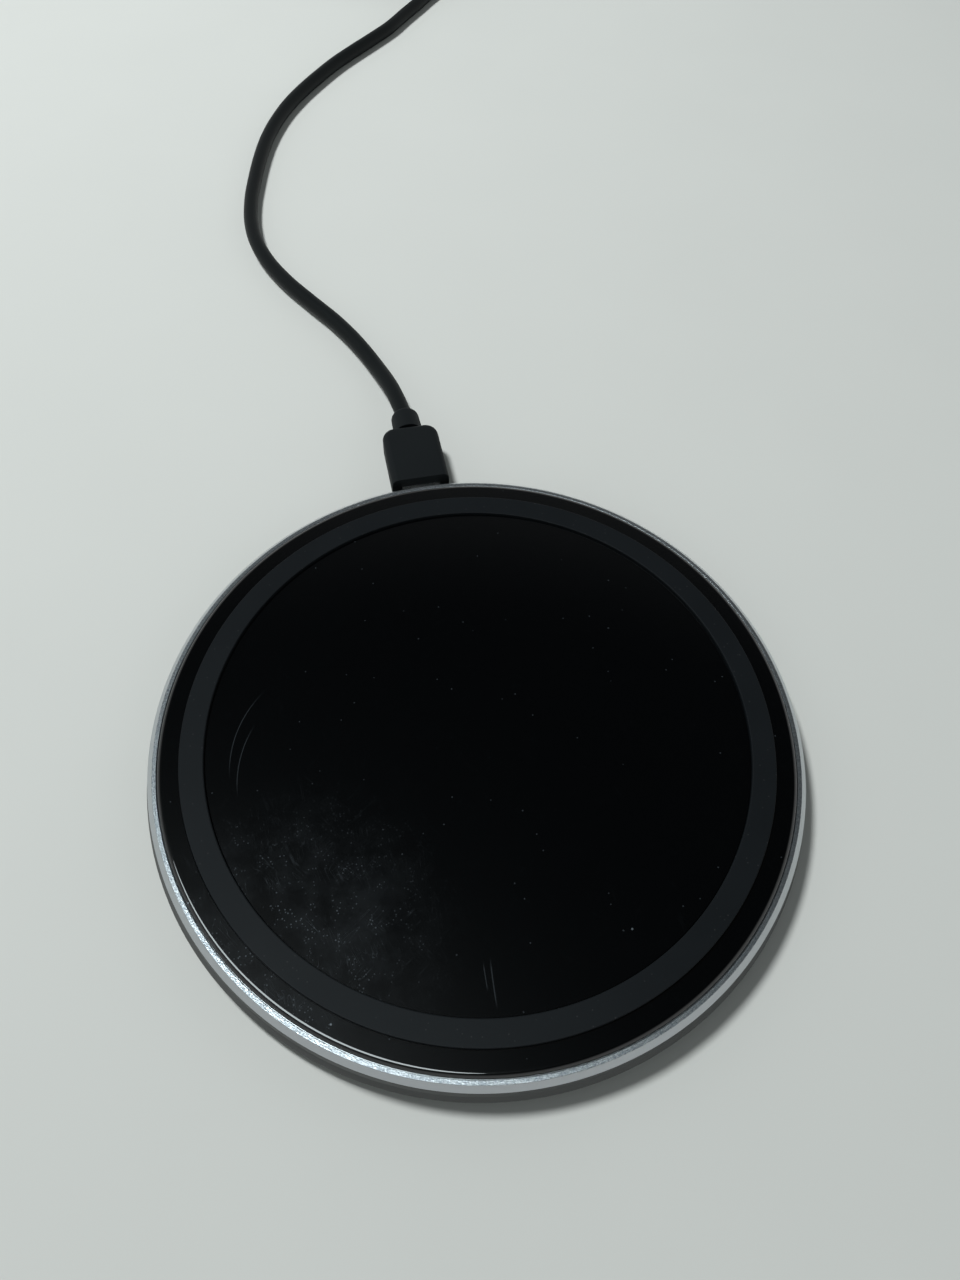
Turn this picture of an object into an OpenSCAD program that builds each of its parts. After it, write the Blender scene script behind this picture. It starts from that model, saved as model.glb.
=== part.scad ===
// Round wireless charging pad with its lead plugged in.
// Millimetres, +Z up. The origin is on the table under the pad's centre,
// and +Y points to the rear, where the lead goes in.

/* [Base] */
// Widest diameter of the pad, at the lower edge of the base
pad_d = 100; // [94:1:120]
// Thickness of the base's floor
floor_t = 1; // [0.8:0.1:1.4]
// Thickness of the base's side wall at its top edge
wall_t = 1.6; // [1.2:0.1:2.2]
// How far the base's top edge lies inside its widest line
flare_w = 0.8; // [0.7:0.1:1.5]
// How far the low skirt stands out from the upper wall
skirt_w = 0.6; // [0.2:0.1:0.7]
// Height of the low skirt
skirt_h = 1; // [0.5:0.1:1.5]
// Radius of the rounded lower edge
edge_r = 1.2; // [0.6:0.1:1.5]

/* [Foot ring] */
// How far the rubber foot ring stands below the base
foot_h = 0.5; // [0.3:0.1:1]
// Width of the foot ring
foot_w = 7; // [6:0.5:10]
// How far the foot ring lies inside the pad's widest line
foot_inset = 3.5; // [3:0.5:6]
// Depth of the groove that holds the foot ring
foot_seat = 0.4; // [0.2:0.1:0.5]
// Play between the foot ring and the sides of its groove
foot_gap = 0.1; // [0.05:0.05:0.3]

/* [Cover screws] */
// Number of screws that hold the base to the metal ring
screw_count = 4; // [4:2:6]
// Diameter of a screw's shank
screw_d = 2; // [1.6:0.2:2.6]
// Diameter of a screw's head
head_d = 3.6; // [3:0.2:4.4]
// Height of a screw's head
head_h = 0.85; // [0.6:0.05:1.2]
// Thickness of the base that a head clamps
clamp_t = 0.6; // [0.4:0.1:1]
// Wall of the bosses around a shank and around a head
boss_wall = 1.4; // [1:0.1:2]
// Metal left above a screw's tip
tip_cover = 0.45; // [0.3:0.05:0.8]
// Play around a screw's shank in the base and around its head
screw_gap = 0.1; // [0.05:0.05:0.2]
// Play around the thread in the metal ring
thread_gap = 0.02; // [0.01:0.01:0.05]

/* [Metal ring] */
// Height of the metal ring above the base
ring_h = 1; // [0.8:0.1:1.6]
// Height of the upright band at the ring's lower edge
band_h = 0.2; // [0.1:0.05:0.4]
// Width of the sloped outer face
slope_w = 0.85; // [0.5:0.05:1.2]
// Width of the flat blasted rim
rim_w = 0.6; // [0.4:0.05:1]
// How far the ring's lower edge lies inside the base's top edge
ring_step = 0.05; // [0:0.05:0.3]
// Thickness of the ledge under the top plate
ledge_t = 0.8; // [0.6:0.1:1]
// Depth of the lip that centres the ring in the base
lip_h = 1; // [0.5:0.1:1.4]
// Thickness of that lip
lip_t = 0.85; // [0.5:0.05:1.2]
// Play between that lip and the base's wall
lip_gap = 0.15; // [0.05:0.05:0.3]

/* [Top plate] */
// Thickness of the top plate
plate_t = 0.9; // [0.8:0.05:1.4]
// How far the plate's underside lies below the rim
plate_sunk = 0.4; // [0.2:0.05:0.6]
// Play between the plate's edge and the metal ring
plate_gap = 0.1; // [0.05:0.05:0.3]
// Radius of the plate's rounded upper edge
crown_r = 0.8; // [0.5:0.05:1.2]
// Steepest slope of the rounded edge, in degrees
crown_slope = 65; // [40:1:70]
// Thickness of the adhesive under the plate
glue_t = 0.15; // [0.1:0.05:0.3]
// How far the adhesive stays back from the ledge's edges
glue_inset = 0.3; // [0.1:0.1:1]

/* [Grip ring] */
// How far the grip ring lies inside the plate's edge
grip_inset = 3.3; // [3:0.1:6]
// Width of the grip ring
grip_w = 3.55; // [2:0.05:6]
// How far the grip ring stands above the plate
grip_h = 0.55; // [0.3:0.05:1]
// Depth of the groove that holds the grip ring
grip_seat = 0.4; // [0.2:0.05:0.6]
// Play between the grip ring and the sides of its groove
grip_gap = 0.12; // [0.05:0.01:0.2]
// Bevel on the grip ring's top corners
grip_bevel = 0.12; // [0.05:0.01:0.2]

/* [Charging coil] */
// Diameter of the coil's stranded wire
wire_d = 1.1; // [0.8:0.1:1.2]
// Space between one turn of the coil and the next
wire_gap = 0.5; // [0.45:0.05:0.6]
// Radius of the coil's outermost turn
winding_r = 26; // [24:0.5:28]
// Whole turns in the coil, before the part turn that reaches its inner lead
winding_turns = 9; // [7:1:10]
// Space between the coil and the top plate
winding_gap = 0.1; // [0.05:0.05:0.2]
// Height between the turns and the lead that passes under them
lead_gap = 0.43; // [0.42:0.01:0.5]
// Thickness of the ferrite sheet
ferrite_t = 0.7; // [0.5:0.1:0.9]
// How far the ferrite sheet reaches past the outermost turn's wire
ferrite_margin = 0.95; // [0.5:0.05:2]
// Thickness of the carrier's plate
carrier_t = 0.9; // [0.7:0.1:1.1]
// Width of the carrier's rim around the ferrite
carrier_rim = 1.3; // [0.8:0.1:2]
// Radius of the foam pad under the carrier
foam_r = 24; // [16:1:26]

/* [Circuit board] */
// Thickness of the circuit board
board_t = 0.8; // [0.6:0.1:1]
// Height of the posts under the board
post_h = 0.5; // [0.3:0.1:0.8]
// Space between the board's round edge and the base's wall
board_gap = 2.4; // [1.5:0.1:3]
// Space between the board's straight edge and the coil's carrier
board_clear = 1.5; // [1:0.1:3]
// Diameter of the pins that hold the board
pin_d = 1.6; // [1.2:0.1:2]
// Sideways place of the pins
pin_x = 20; // [16:1:22]
// Side of the square controller
chip_w = 5; // [3:0.5:6]
// Height of the controller and of the transistors
chip_h = 0.9; // [0.6:0.1:1]
// Side of a transistor
switch_w = 3.3; // [2:0.1:4]
// Length of a resonant capacitor
cap_l = 3.2; // [2:0.1:3.6]
// Height of a resonant capacitor
cap_h = 1.15; // [0.8:0.05:1.2]
// Length of a filter capacitor
filter_l = 2; // [1:0.1:2.4]

/* [Port and plug] */
// Width of the plug's metal shell
shell_w = 6.85; // [6.5:0.05:7.2]
// Height of the plug's metal shell
shell_h = 1.8; // [1.7:0.05:2]
// Sheet thickness of the plug's and the socket's metal
shell_t = 0.25; // [0.2:0.05:0.3]
// Bevel on the lower corners of the plug's shell
shell_cut = 0.6; // [0.4:0.05:0.8]
// Sliding play between the plug and the socket
socket_gap = 0.1; // [0.06:0.01:0.15]
// Length of the socket
socket_l = 5.6; // [5:0.1:6.5]
// How far the socket's mouth lies inside the base's top edge
mouth_inset = 0.3; // [0.1:0.1:0.8]
// Height of the port's middle above the board
port_rise = 0.1; // [0:0.05:0.3]
// Room above the socket inside the pad
port_room = 0.25; // [0.2:0.05:0.5]
// Thickness of the socket's tongue
tongue_t = 0.45; // [0.35:0.05:0.5]
// Thickness of the plug's inner plate
core_t = 0.5; // [0.4:0.05:0.55]
// Width of the plug's grip
plug_w = 10.4; // [9:0.1:12]
// Length of the plug's grip
plug_l = 13.2; // [10:0.1:20]
// Radius along the grip's edges
plug_r = 1.6; // [0.8:0.1:2.2]
// Radius of the grip's rear corners
plug_rear_r = 2.4; // [1:0.1:3.5]
// Space between the grip and the pad
plug_stop = 0.3; // [0.2:0.05:1]
// Space between the grip and the table
plug_lift = 0.1; // [0.05:0.05:0.3]
// Length of the stub where the cord leaves the grip
relief_l = 5; // [4:0.5:12]

/* [Cord] */
// Diameter of the cord
cord_d = 3.2; // [2.8:0.1:3.6]
// Space between the turns of the put-away coil
cord_gap = 0.5; // [0.45:0.05:0.7]
// Radius of the put-away coil's outermost turn
coil_r = 23.2; // [22:0.1:28]
// Whole turns in the put-away coil, before the part turn to its far end
coil_turns = 7; // [5:1:7]
// Thickness of the tie's strap
tie_t = 0.5; // [0.3:0.1:1]
// Width of the tie's strap
tie_w = 6; // [4:0.5:10]
// Play between the tie and the cord
tie_gap = 0.3; // [0.1:0.05:0.5]

/* [Supply plug] */
// Width of the supply plug's metal shell
usb_w = 12; // [11.8:0.1:12.2]
// Height of the supply plug's metal shell
usb_h = 4.5; // [4.3:0.1:4.7]
// Length of the supply plug's metal shell
usb_l = 18.75; // [16:0.25:20]
// Sheet thickness of that shell
usb_t = 0.3; // [0.25:0.05:0.4]
// Thickness of the plug's inner plate
usb_core_t = 1.95; // [1.6:0.05:2.2]
// Side of the square windows in the shell
usb_window = 2.2; // [1.5:0.1:2.6]
// Width of the supply plug's grip
usb_grip_w = 15.6; // [14:0.1:18]
// Height of the supply plug's grip
usb_grip_h = 7.8; // [7:0.1:9]
// Length of the supply plug's grip
usb_grip_l = 19; // [15:0.5:30]
// Space between the supply plug and the put-away coil
usb_gap = 1; // [0.5:0.1:3]

/* [Hidden] */
$fn = 96;

// A cut runs this far past the face that it opens
past = 1;

// Share of a turn over which a spiral's direction is taken
small_turn = 0.01;

// Sides of the tubes, and rings in a turn of a wound one
cord_sides = 8;
wound_sides = 6;
loop_rings = 24;

// Heights, from the table up
base_z = foot_h;
floor_z = base_z + floor_t;
board_z = floor_z + post_h;
board_top = board_z + board_t;
port_z = board_top + port_rise;
socket_h = shell_h + 2 * (socket_gap + shell_t);
base_top = port_z + socket_h / 2 + port_room;
rim_z = base_top + ring_h;
plate_z = rim_z - plate_sunk;
plate_top = plate_z + plate_t;
ledge_top = plate_z - glue_t;
ledge_z = ledge_top - ledge_t;
grip_top = plate_top + grip_h;

// Radii of the pad
pad_r = pad_d / 2;
wall_r = pad_r - flare_w;
room_r = wall_r - wall_t;
foot_out = pad_r - foot_inset;
foot_in = foot_out - foot_w;
ring_r = wall_r - ring_step;
rim_r = ring_r - slope_w;
seat_r = rim_r - rim_w;
plate_r = seat_r - plate_gap;
lip_r = room_r - lip_gap;
grip_out = plate_r - grip_inset;
grip_in = grip_out - grip_w;

// Screws, from the foot ring's groove up
screw_ring_r = (foot_out + foot_in) / 2;
screw_angle = 30;
screw_angles = [for (side = [0, 180], k = [0 : screw_count / 2 - 1])
    side + screw_angle + k * (180 - 2 * screw_angle) / (screw_count / 2 - 1)];
groove_top = base_z + foot_seat;
head_lift = 0.05;
head_z = groove_top + head_lift;
clamp_z = head_z + head_h;
boss_z = clamp_z + clamp_t;
tip_z = ledge_top - tip_cover;
tip_room = 0.2;
drive_w = 0.5;
drive_l = 2.2;
drive_depth = 0.4;
boss_r = screw_d / 2 + boss_wall;
head_boss_r = head_d / 2 + boss_wall;
boss_margin = 0.4;
ledge_r = screw_ring_r - boss_r - boss_margin;

// Charging coil, from the top plate down
wire_r = wire_d / 2;
wire_pitch = wire_d + wire_gap;
wire_z = plate_z - winding_gap - wire_r;
ferrite_top = wire_z - wire_r;
ferrite_z = ferrite_top - ferrite_t;
carrier_z = ferrite_z - carrier_t;
ferrite_r = winding_r + wire_r + ferrite_margin;
ferrite_gap = 0.2;
carrier_r = ferrite_r + ferrite_gap + carrier_rim;
carrier_drop = 0.1;
under_z = wire_z - wire_d - lead_gap;
slot_gap = 0.4;
slot_w = wire_d + 2 * slot_gap;
winding_start = 135;
winding_all = winding_turns + (360 - winding_start) / 360;
winding_in = winding_r - wire_pitch * winding_all;

// Circuit board and what stands on it
board_r = room_r - board_gap;
board_y = carrier_r + board_clear;
pin_inset = 2;
pin_y = board_y + pin_inset;
pin_gap = 0.05;
pin_head_w = 0.6;
pin_head_d = pin_d + 2 * pin_head_w;
pin_head_h = 0.5;
post_w = 0.8;
post_d = pin_d + 2 * post_w;
lead_land = 2.5;
lead_end_y = board_y + lead_land;
lead_lift = 0.03;
lead_z = board_top + wire_r + lead_lift;
chip_x = -7;
part_inset = 6.6;
part_y = board_y + part_inset;
switch_x = [4, 9];
cap_x = [-16, -12];
cap_inset = [2.2, 6];
cap_row_y = [for (d = cap_inset) board_y + d];
cap_w = 2.5;
filter_x = [14, 17];
filter_w = 1.25;
filter_h = 1;

// Port and plug, along Y
mouth_y = wall_r - mouth_inset;
socket_y = mouth_y - socket_l;
socket_back = 0.7;
tip_gap = 0.2;
socket_w = shell_w + 2 * (socket_gap + shell_t);
leg_w = 1.1;
leg_l = 1.2;
leg_inset = 0.3;
leg_t = 0.25;
port_gap = 0.1;
port_span = socket_w / 2 + leg_w + port_gap;
port_relief = 0.05;
plug_tip = socket_y + socket_back + tip_gap;
plug_y = pad_r + plug_stop;
plug_h = 2 * (port_z - plug_lift);
plug_rear = plug_y + plug_l;
shell_embed = 2;
cord_y = plug_rear + relief_l;
bore_h = shell_h - 2 * shell_t;
core_top = core_t - bore_h / 2;
contact_t = 0.08;
slide_gap = 0.06;
spring_t = 0.06;
spring_z = core_top + contact_t + slide_gap;
tongue_z = spring_z + spring_t;
tongue_w = 3.8;
tongue_inset = 0.6;
contact_w = 0.3;
contact_pitch = 0.65;
contact_start = 0.5;
core_back = 0.3;
relief_most = 2.8;
relief_r = min(plug_h / 2, relief_most);
relief_round = 1;

// Cord: how it lies from the plug to the put-away coil, as places from the
// cord's exit, with the height of its underside above the table
cord_r = cord_d / 2;
exit_rise = port_z - cord_r;
run_route = [
    [0, 0, exit_rise], [-1.1, 8, 0.8], [-3.1, 15.6, 0.1], [-5.9, 23.2, 0],
    [-9.4, 30.4, 0], [-13.7, 37.5, 0], [-17.9, 44.7, 0], [-21.2, 52.1, 0],
    [-23.2, 59.7, 0], [-23.7, 67.5, 0], [-23, 75.4, 0], [-21.5, 83.3, 0],
    [-19.7, 91.1, 0], [-17.5, 98.7, 0], [-14.6, 106, 0], [-10.9, 113.1, 0],
    [-6.4, 119.8, 0], [-1.4, 126.1, 0], [3.8, 132.1, 0], [9.6, 137.8, 0],
    [15.5, 143.3, 0], [21.2, 148.9, 0], [26, 154.8, 0], [30.7, 160.4, 0],
    [35.2, 165.9, 0.1], [40, 171.6, 0.4]];

// Put-away coil: centre as a place from the cord's exit, first and last angle
coil_place = [30, 195.5];
coil_first = -42;
coil_last = 0;
coil_all = coil_turns + (coil_last - coil_first) / 360;
coil_pitch = cord_d + cord_gap;
coil_in = coil_r - coil_pitch * coil_all / 2;
coil_lift = 0.1;
coil_z = tie_t + coil_lift + cord_r;
coil_soft = 0.1;
coil_steps = ceil(coil_all * loop_rings);
tie_angle = 180;

// Supply plug: it lies on the far side of the coil and points to -X
usb_relief_l = 6;
usb_relief_r = 3.2;
usb_start_x = -1;
usb_place = [coil_place[0] + usb_start_x,
    coil_place[1] + coil_r + cord_r + usb_gap + usb_grip_w / 2];
usb_lift = 0.1;
usb_z = usb_grip_h / 2 + usb_lift;
usb_grip_r = 2;
usb_rear_r = 3;
usb_shell_y = usb_relief_l + usb_grip_l;
usb_embed = 3;
usb_inner_r = 0.1;
usb_core_inset = 0.6;
usb_window_x = 2.6;
usb_window_y = 6.5;
usb_contact_w = 1;
usb_contact_pitch = 2.3;
usb_contact_t = 0.2;
usb_contact_l = 9;
usb_contact_inset = 1;

// Tail of the cord, from the coil's end to the supply plug, as places from
// the coil's centre, with the height of its underside above the table
tail_reach = usb_place[1] - coil_place[1];
tail_route = [
    [coil_r + 0.1, 8, 3.7], [coil_r + 0.2, 12.5, 2.6], [coil_r, 17, 1.3],
    [coil_r - 0.6, 21.5, 0.4], [coil_r - 2.2, tail_reach - 7.8, 0],
    [coil_r - 5.4, tail_reach - 3.9, 0], [coil_r - 9.6, tail_reach - 1.2, 0.2],
    [coil_r - 14.4, tail_reach - 0.1, 0.9], [coil_r - 19.2, tail_reach, 1.8]];

// Vectors and tubes

function unit(v) = v / norm(v);

// Directions along a list of points, with the first and last one given
function directions(points, first, last) = let (end = len(points) - 1)
    [for (i = [0 : end]) i == 0 ? first : i == end ? last :
        unit(points[i + 1] - points[i - 1])];

// One ring of a tube, square to its direction
function ring(centre, direction, r, sides) =
    let (side = unit(cross(direction, [0, 0, 1])), rise = cross(side, direction))
    [for (k = [0 : sides - 1]) let (a = 360 * (k + 0.5) / sides)
        centre + r * (cos(a) * side + sin(a) * rise)];

// Closed tube along a list of points
module tube(points, ways, r, sides) {
    last = len(points) - 1;
    skin = [for (i = [0 : last - 1], k = [0 : sides - 1])
        let (a = i * sides + k, b = i * sides + (k + 1) % sides)
        each [[a, b, b + sides], [a, b + sides, a + sides]]];
    far = last * sides;
    caps = [for (k = [1 : sides - 2])
        each [[0, k + 1, k], [far, far + k, far + k + 1]]];
    rings = [for (i = [0 : last]) each ring(points[i], ways[i], r, sides)];
    polyhedron(rings, concat(skin, caps));
}

// Least distance between points of a wound tube that are half a turn apart
function least_gap(points, apart) = let (end = len(points) - 1)
    min([for (i = [0 : end - apart], j = [i + apart : end])
        norm(points[i] - points[j])]);

// Outlines

// Rectangle with round corners
module rounded(w, h, r) {
    square([w - 2 * r, h], center = true);
    square([w, h - 2 * r], center = true);
    for (x = [-1, 1], y = [-1, 1])
        translate([x * (w / 2 - r), y * (h / 2 - r)]) circle(r);
}

// Section of the plug's shell, grown all round by a play
module port_section(grow) {
    w = shell_w / 2 + grow;
    h = shell_h / 2 + grow;
    cut = shell_cut + grow * (2 - sqrt(2));
    polygon([[-w, h], [w, h], [w, cut - h], [w - cut, -h], [cut - w, -h],
        [-w, cut - h]]);
}

// Plan of a plug's grip from its front, at y = 0, to its round rear corners
module grip_plan(w, l, r) {
    translate([-w / 2, 0]) square([w, l - r]);
    translate([r - w / 2, 0]) square([w - 2 * r, l]);
    for (x = [-1, 1]) translate([x * (w / 2 - r), l - r]) circle(r);
}

// Children as a section in X and Z, drawn out from y0 to y1 at height z
module along_y(y0, y1, z) {
    translate([0, y1, z]) rotate([90, 0, 0]) linear_extrude(y1 - y0) children();
}

// Flat washer
module washer(r_in, r_out, z0, z1) {
    translate([0, 0, z0]) difference() {
        cylinder(r = r_out, h = z1 - z0);
        translate([0, 0, -past]) cylinder(r = r_in, h = z1 - z0 + 2 * past);
    }
}

// Block centred on x and y that stands on a height
module block(x, y, z, size) {
    translate([x - size[0] / 2, y - size[1] / 2, z]) cube(size);
}

// Children at each screw
module at_screws() {
    for (a = screw_angles) rotate([0, 0, a]) translate([screw_ring_r, 0, 0]) children();
}

// Plug's grip with round edges and round rear corners, from y = 0 to l
module grip_body(w, h, l, r, rear_r) {
    intersection() {
        along_y(0, l, 0) rounded(w, h, r);
        translate([0, 0, -h]) linear_extrude(2 * h) grip_plan(w, l, rear_r);
    }
}

// Stub along +Y with a round end
module stub(r0, r1, l, round_r) {
    rotate([-90, 0, 0]) rotate_extrude() {
        polygon([[0, 0], [r0, 0], [r1, l - round_r], [r1 - round_r, l - round_r],
            [r1 - round_r, l], [0, l]]);
        intersection() {
            translate([r1 - round_r, l - round_r]) circle(round_r);
            translate([r1 - round_r, l - round_r]) square(round_r);
        }
    }
}

// Pad

module bottom_cover() {
    color("dimgray") difference() {
        union() {
            rotate_extrude() {
                polygon([[0, base_z], [pad_r - edge_r, base_z],
                    [pad_r - edge_r, base_z + edge_r], [pad_r, base_z + edge_r],
                    [pad_r - skirt_w, base_z + edge_r + skirt_h], [wall_r, base_top],
                    [room_r, base_top], [room_r, floor_z], [0, floor_z]]);
                translate([pad_r - edge_r, base_z + edge_r]) circle(edge_r);
            }
            at_screws() translate([0, 0, floor_z])
                cylinder(r = head_boss_r, h = boss_z - floor_z);
            for (x = [-pin_x, pin_x]) translate([x, pin_y, 0]) {
                translate([0, 0, floor_z]) cylinder(d = post_d, h = post_h);
                translate([0, 0, floor_z]) cylinder(d = pin_d, h = board_top - floor_z);
                translate([0, 0, board_top]) cylinder(d = pin_head_d, h = pin_head_h);
            }
        }
        washer(foot_in - foot_gap, foot_out + foot_gap, base_z - past, groove_top);
        at_screws() {
            translate([0, 0, base_z]) cylinder(d = head_d + 2 * screw_gap, h = clamp_z - base_z);
            translate([0, 0, base_z]) cylinder(d = screw_d + 2 * screw_gap, h = boss_z);
        }
        along_y(room_r - past, pad_r + past, port_z)
            translate([-socket_w / 2 - port_gap, -socket_h / 2 - port_gap])
            square([socket_w + 2 * port_gap, socket_h + port_room + past]);
    }
}

module foot_ring() {
    color("#2b2b2d") washer(foot_in, foot_out, 0, groove_top);
}

module cover_screws() {
    color("gainsboro") at_screws() difference() {
        union() {
            translate([0, 0, head_z]) cylinder(d = head_d, h = head_h);
            translate([0, 0, clamp_z]) cylinder(d = screw_d, h = tip_z - clamp_z);
        }
        for (turn = [0, 90]) rotate([0, 0, turn])
            block(0, 0, head_z - past, [drive_l, drive_w, drive_depth + past]);
    }
}

module frame_ring() {
    color("silver") difference() {
        union() {
            rotate_extrude() polygon([[ledge_r, ledge_z], [lip_r - lip_t, ledge_z],
                [lip_r - lip_t, base_top - lip_h], [lip_r, base_top - lip_h],
                [lip_r, base_top], [ring_r, base_top], [ring_r, base_top + band_h],
                [rim_r, rim_z], [seat_r, rim_z], [seat_r, ledge_top],
                [ledge_r, ledge_top]]);
            at_screws() translate([0, 0, boss_z])
                cylinder(r = boss_r, h = ledge_top - ledge_t / 2 - boss_z);
        }
        at_screws() translate([0, 0, boss_z - past])
            cylinder(r = screw_d / 2 + thread_gap, h = tip_z + tip_room - boss_z + past);
        translate([-port_span, socket_y - port_gap, base_top - lip_h - past])
            cube([2 * port_span, pad_r - socket_y, lip_h + past + port_relief]);
    }
}

module adhesive_ring() {
    color("whitesmoke") washer(ledge_r + glue_inset, seat_r - glue_inset, ledge_top, plate_z);
}

module top_plate() {
    crown_x = plate_r - crown_r * sin(crown_slope);
    crown_drop = crown_r * (1 - cos(crown_slope));
    color("#0c0c0e") difference() {
        rotate_extrude() intersection() {
            translate([0, plate_z]) square([plate_r, plate_t]);
            union() {
                translate([0, plate_z]) square([crown_x, plate_t]);
                translate([0, plate_z]) square([plate_r, plate_t - crown_drop]);
                translate([crown_x, plate_top - crown_r]) circle(crown_r);
            }
        }
        washer(grip_in - grip_gap, grip_out + grip_gap, plate_top - grip_seat, plate_top + past);
    }
}

module grip_ring() {
    low = plate_top - grip_seat;
    color("#33343a") rotate_extrude() polygon([[grip_in, low], [grip_out, low],
        [grip_out, grip_top - grip_bevel], [grip_out - grip_bevel, grip_top],
        [grip_in + grip_bevel, grip_top], [grip_in, grip_top - grip_bevel]]);
}

// Slot for the lead that passes under the coil
module lead_slot() {
    translate([winding_in - slot_w / 2, -slot_w, floor_z - past])
        cube([slot_w, carrier_r + slot_w, plate_z]);
}

module foam_pad() {
    color("#55565a") difference() {
        translate([0, 0, floor_z]) cylinder(r = foam_r, h = carrier_z - floor_z);
        lead_slot();
    }
}

module coil_carrier() {
    color("ivory") difference() {
        union() {
            translate([0, 0, carrier_z]) cylinder(r = carrier_r, h = carrier_t);
            washer(ferrite_r + ferrite_gap, carrier_r, carrier_z, ferrite_top - carrier_drop);
        }
        lead_slot();
    }
}

module ferrite_sheet() {
    color("#3a3a3c") difference() {
        translate([0, 0, ferrite_z]) cylinder(r = ferrite_r, h = ferrite_t);
        lead_slot();
    }
}

// Place on the charging coil after a number of turns, from its outer end
function winding_at(turn) = let (a = winding_start + 360 * turn, r = winding_r - wire_pitch * turn)
    [r * cos(a), r * sin(a), wire_z];

// The coil with both of its leads, from the board to the board
winding_steps = ceil(winding_all * loop_rings);
winding_way = unit(winding_at(small_turn) - winding_at(0));
lead_run = (lead_end_y - winding_at(0)[1]) / -winding_way[1];
function outer_lead(share, z) =
    let (p = winding_at(0) - share * lead_run * winding_way)
    [p[0], p[1], z];

// Outer lead as shares of its run from the coil, inner lead as places along Y,
// each with its height
outer_route = [[1, lead_z], [0.85, lead_z], [0.6, wire_z], [0.3, wire_z]];
inner_bend = 0.35;
climb_start = 4.5;
climb_end = 1;
inner_route = [
    [1.3, wire_z - inner_bend], [2.5, under_z + inner_bend], [3.8, under_z],
    [carrier_r / 2, under_z], [board_y - climb_start, under_z],
    [board_y - climb_end, lead_z], [lead_end_y, lead_z]];
winding_points = concat(
    [for (p = outer_route) outer_lead(p[0], p[1])],
    [for (i = [0 : winding_steps]) winding_at(winding_all * i / winding_steps)],
    [for (p = inner_route) [winding_in, p[0], p[1]]]);

module coil_winding() {
    color("peru") tube(winding_points,
        directions(winding_points, winding_way, [0, 1, 0]), wire_r, wound_sides);
}

module circuit_board() {
    color("darkgreen") difference() {
        intersection() {
            translate([0, 0, board_z]) cylinder(r = board_r, h = board_t);
            translate([-board_r, board_y, 0]) cube([2 * board_r, board_r, plate_top]);
        }
        for (x = [-pin_x, pin_x]) translate([x, pin_y, board_z - past])
            cylinder(r = pin_d / 2 + pin_gap, h = board_t + 2 * past);
        translate([-socket_w / 2 - port_gap, socket_y - port_gap, board_z - past])
            cube([socket_w + 2 * port_gap, board_r, board_t + 2 * past]);
    }
}

module controller_chip() {
    color("#1b1b1d") block(chip_x, part_y, board_top, [chip_w, chip_w, chip_h]);
}

module bridge_transistors() {
    color("#26262a") for (x = switch_x)
        block(x, part_y, board_top, [switch_w, switch_w, chip_h]);
}

module resonant_capacitors() {
    color("tan") for (x = cap_x, y = cap_row_y)
        block(x, y, board_top, [cap_l, cap_w, cap_h]);
}

module filter_capacitors() {
    color("burlywood") for (x = filter_x)
        block(x, part_y, board_top, [filter_w, filter_l, filter_h]);
}

// Port

module socket_shell() {
    color("lightgray") {
        along_y(socket_y, mouth_y, port_z) difference() {
            port_section(socket_gap + shell_t);
            port_section(socket_gap);
        }
        for (x = [-1, 1]) block(x * (socket_w + leg_w - shell_t) / 2,
            socket_y + leg_inset + leg_l / 2, board_top, [leg_w + shell_t, leg_l, leg_t]);
    }
}

module socket_tongue() {
    color("black") {
        along_y(socket_y, socket_y + socket_back, port_z) port_section(socket_gap);
        along_y(socket_y + socket_back, mouth_y - tongue_inset, port_z)
            translate([-tongue_w / 2, tongue_z]) square([tongue_w, tongue_t]);
    }
}

// Row of five contacts on a plate at height z, from y0 to y1
module contact_row(y0, y1, z, t) {
    for (k = [-2 : 2]) translate([k * contact_pitch - contact_w / 2, y0, port_z + z])
        cube([contact_w, y1 - y0, t]);
}

module socket_contacts() {
    color("gold") contact_row(socket_y + socket_back, mouth_y - tongue_inset - contact_start,
        spring_z, spring_t);
}

// Plug in the port

module plug_shell() {
    color("lightgray") along_y(plug_tip, plug_y + shell_embed, port_z) difference() {
        port_section(0);
        port_section(-shell_t);
    }
}

module plug_core() {
    color("#202022") {
        along_y(plug_tip + core_back, mouth_y + core_back, port_z) intersection() {
            port_section(-shell_t);
            translate([-shell_w, core_top - shell_h]) square([2 * shell_w, shell_h]);
        }
        along_y(mouth_y + core_back, plug_y + shell_embed, port_z) port_section(-shell_t);
    }
}

module plug_contacts() {
    color("gold") contact_row(plug_tip + contact_start, mouth_y + core_back, core_top, contact_t);
}

module plug_grip() {
    color("#161617") difference() {
        translate([0, plug_y, port_z]) grip_body(plug_w, plug_h, plug_l, plug_r, plug_rear_r);
        along_y(plug_y - past, plug_y + shell_embed, port_z) port_section(0);
    }
}

module plug_relief() {
    color("#161617") translate([0, plug_rear, port_z])
        stub(relief_r, cord_r + relief_round, relief_l, relief_round);
}

// Cord

// Route point of the cord, as a place from the cord's exit or the coil's centre
function laid(from, p) = [from[0] + p[0], from[1] + p[1], p[2] + cord_r];
cord_exit = [0, cord_y];
coil_centre = cord_exit + coil_place;

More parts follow.
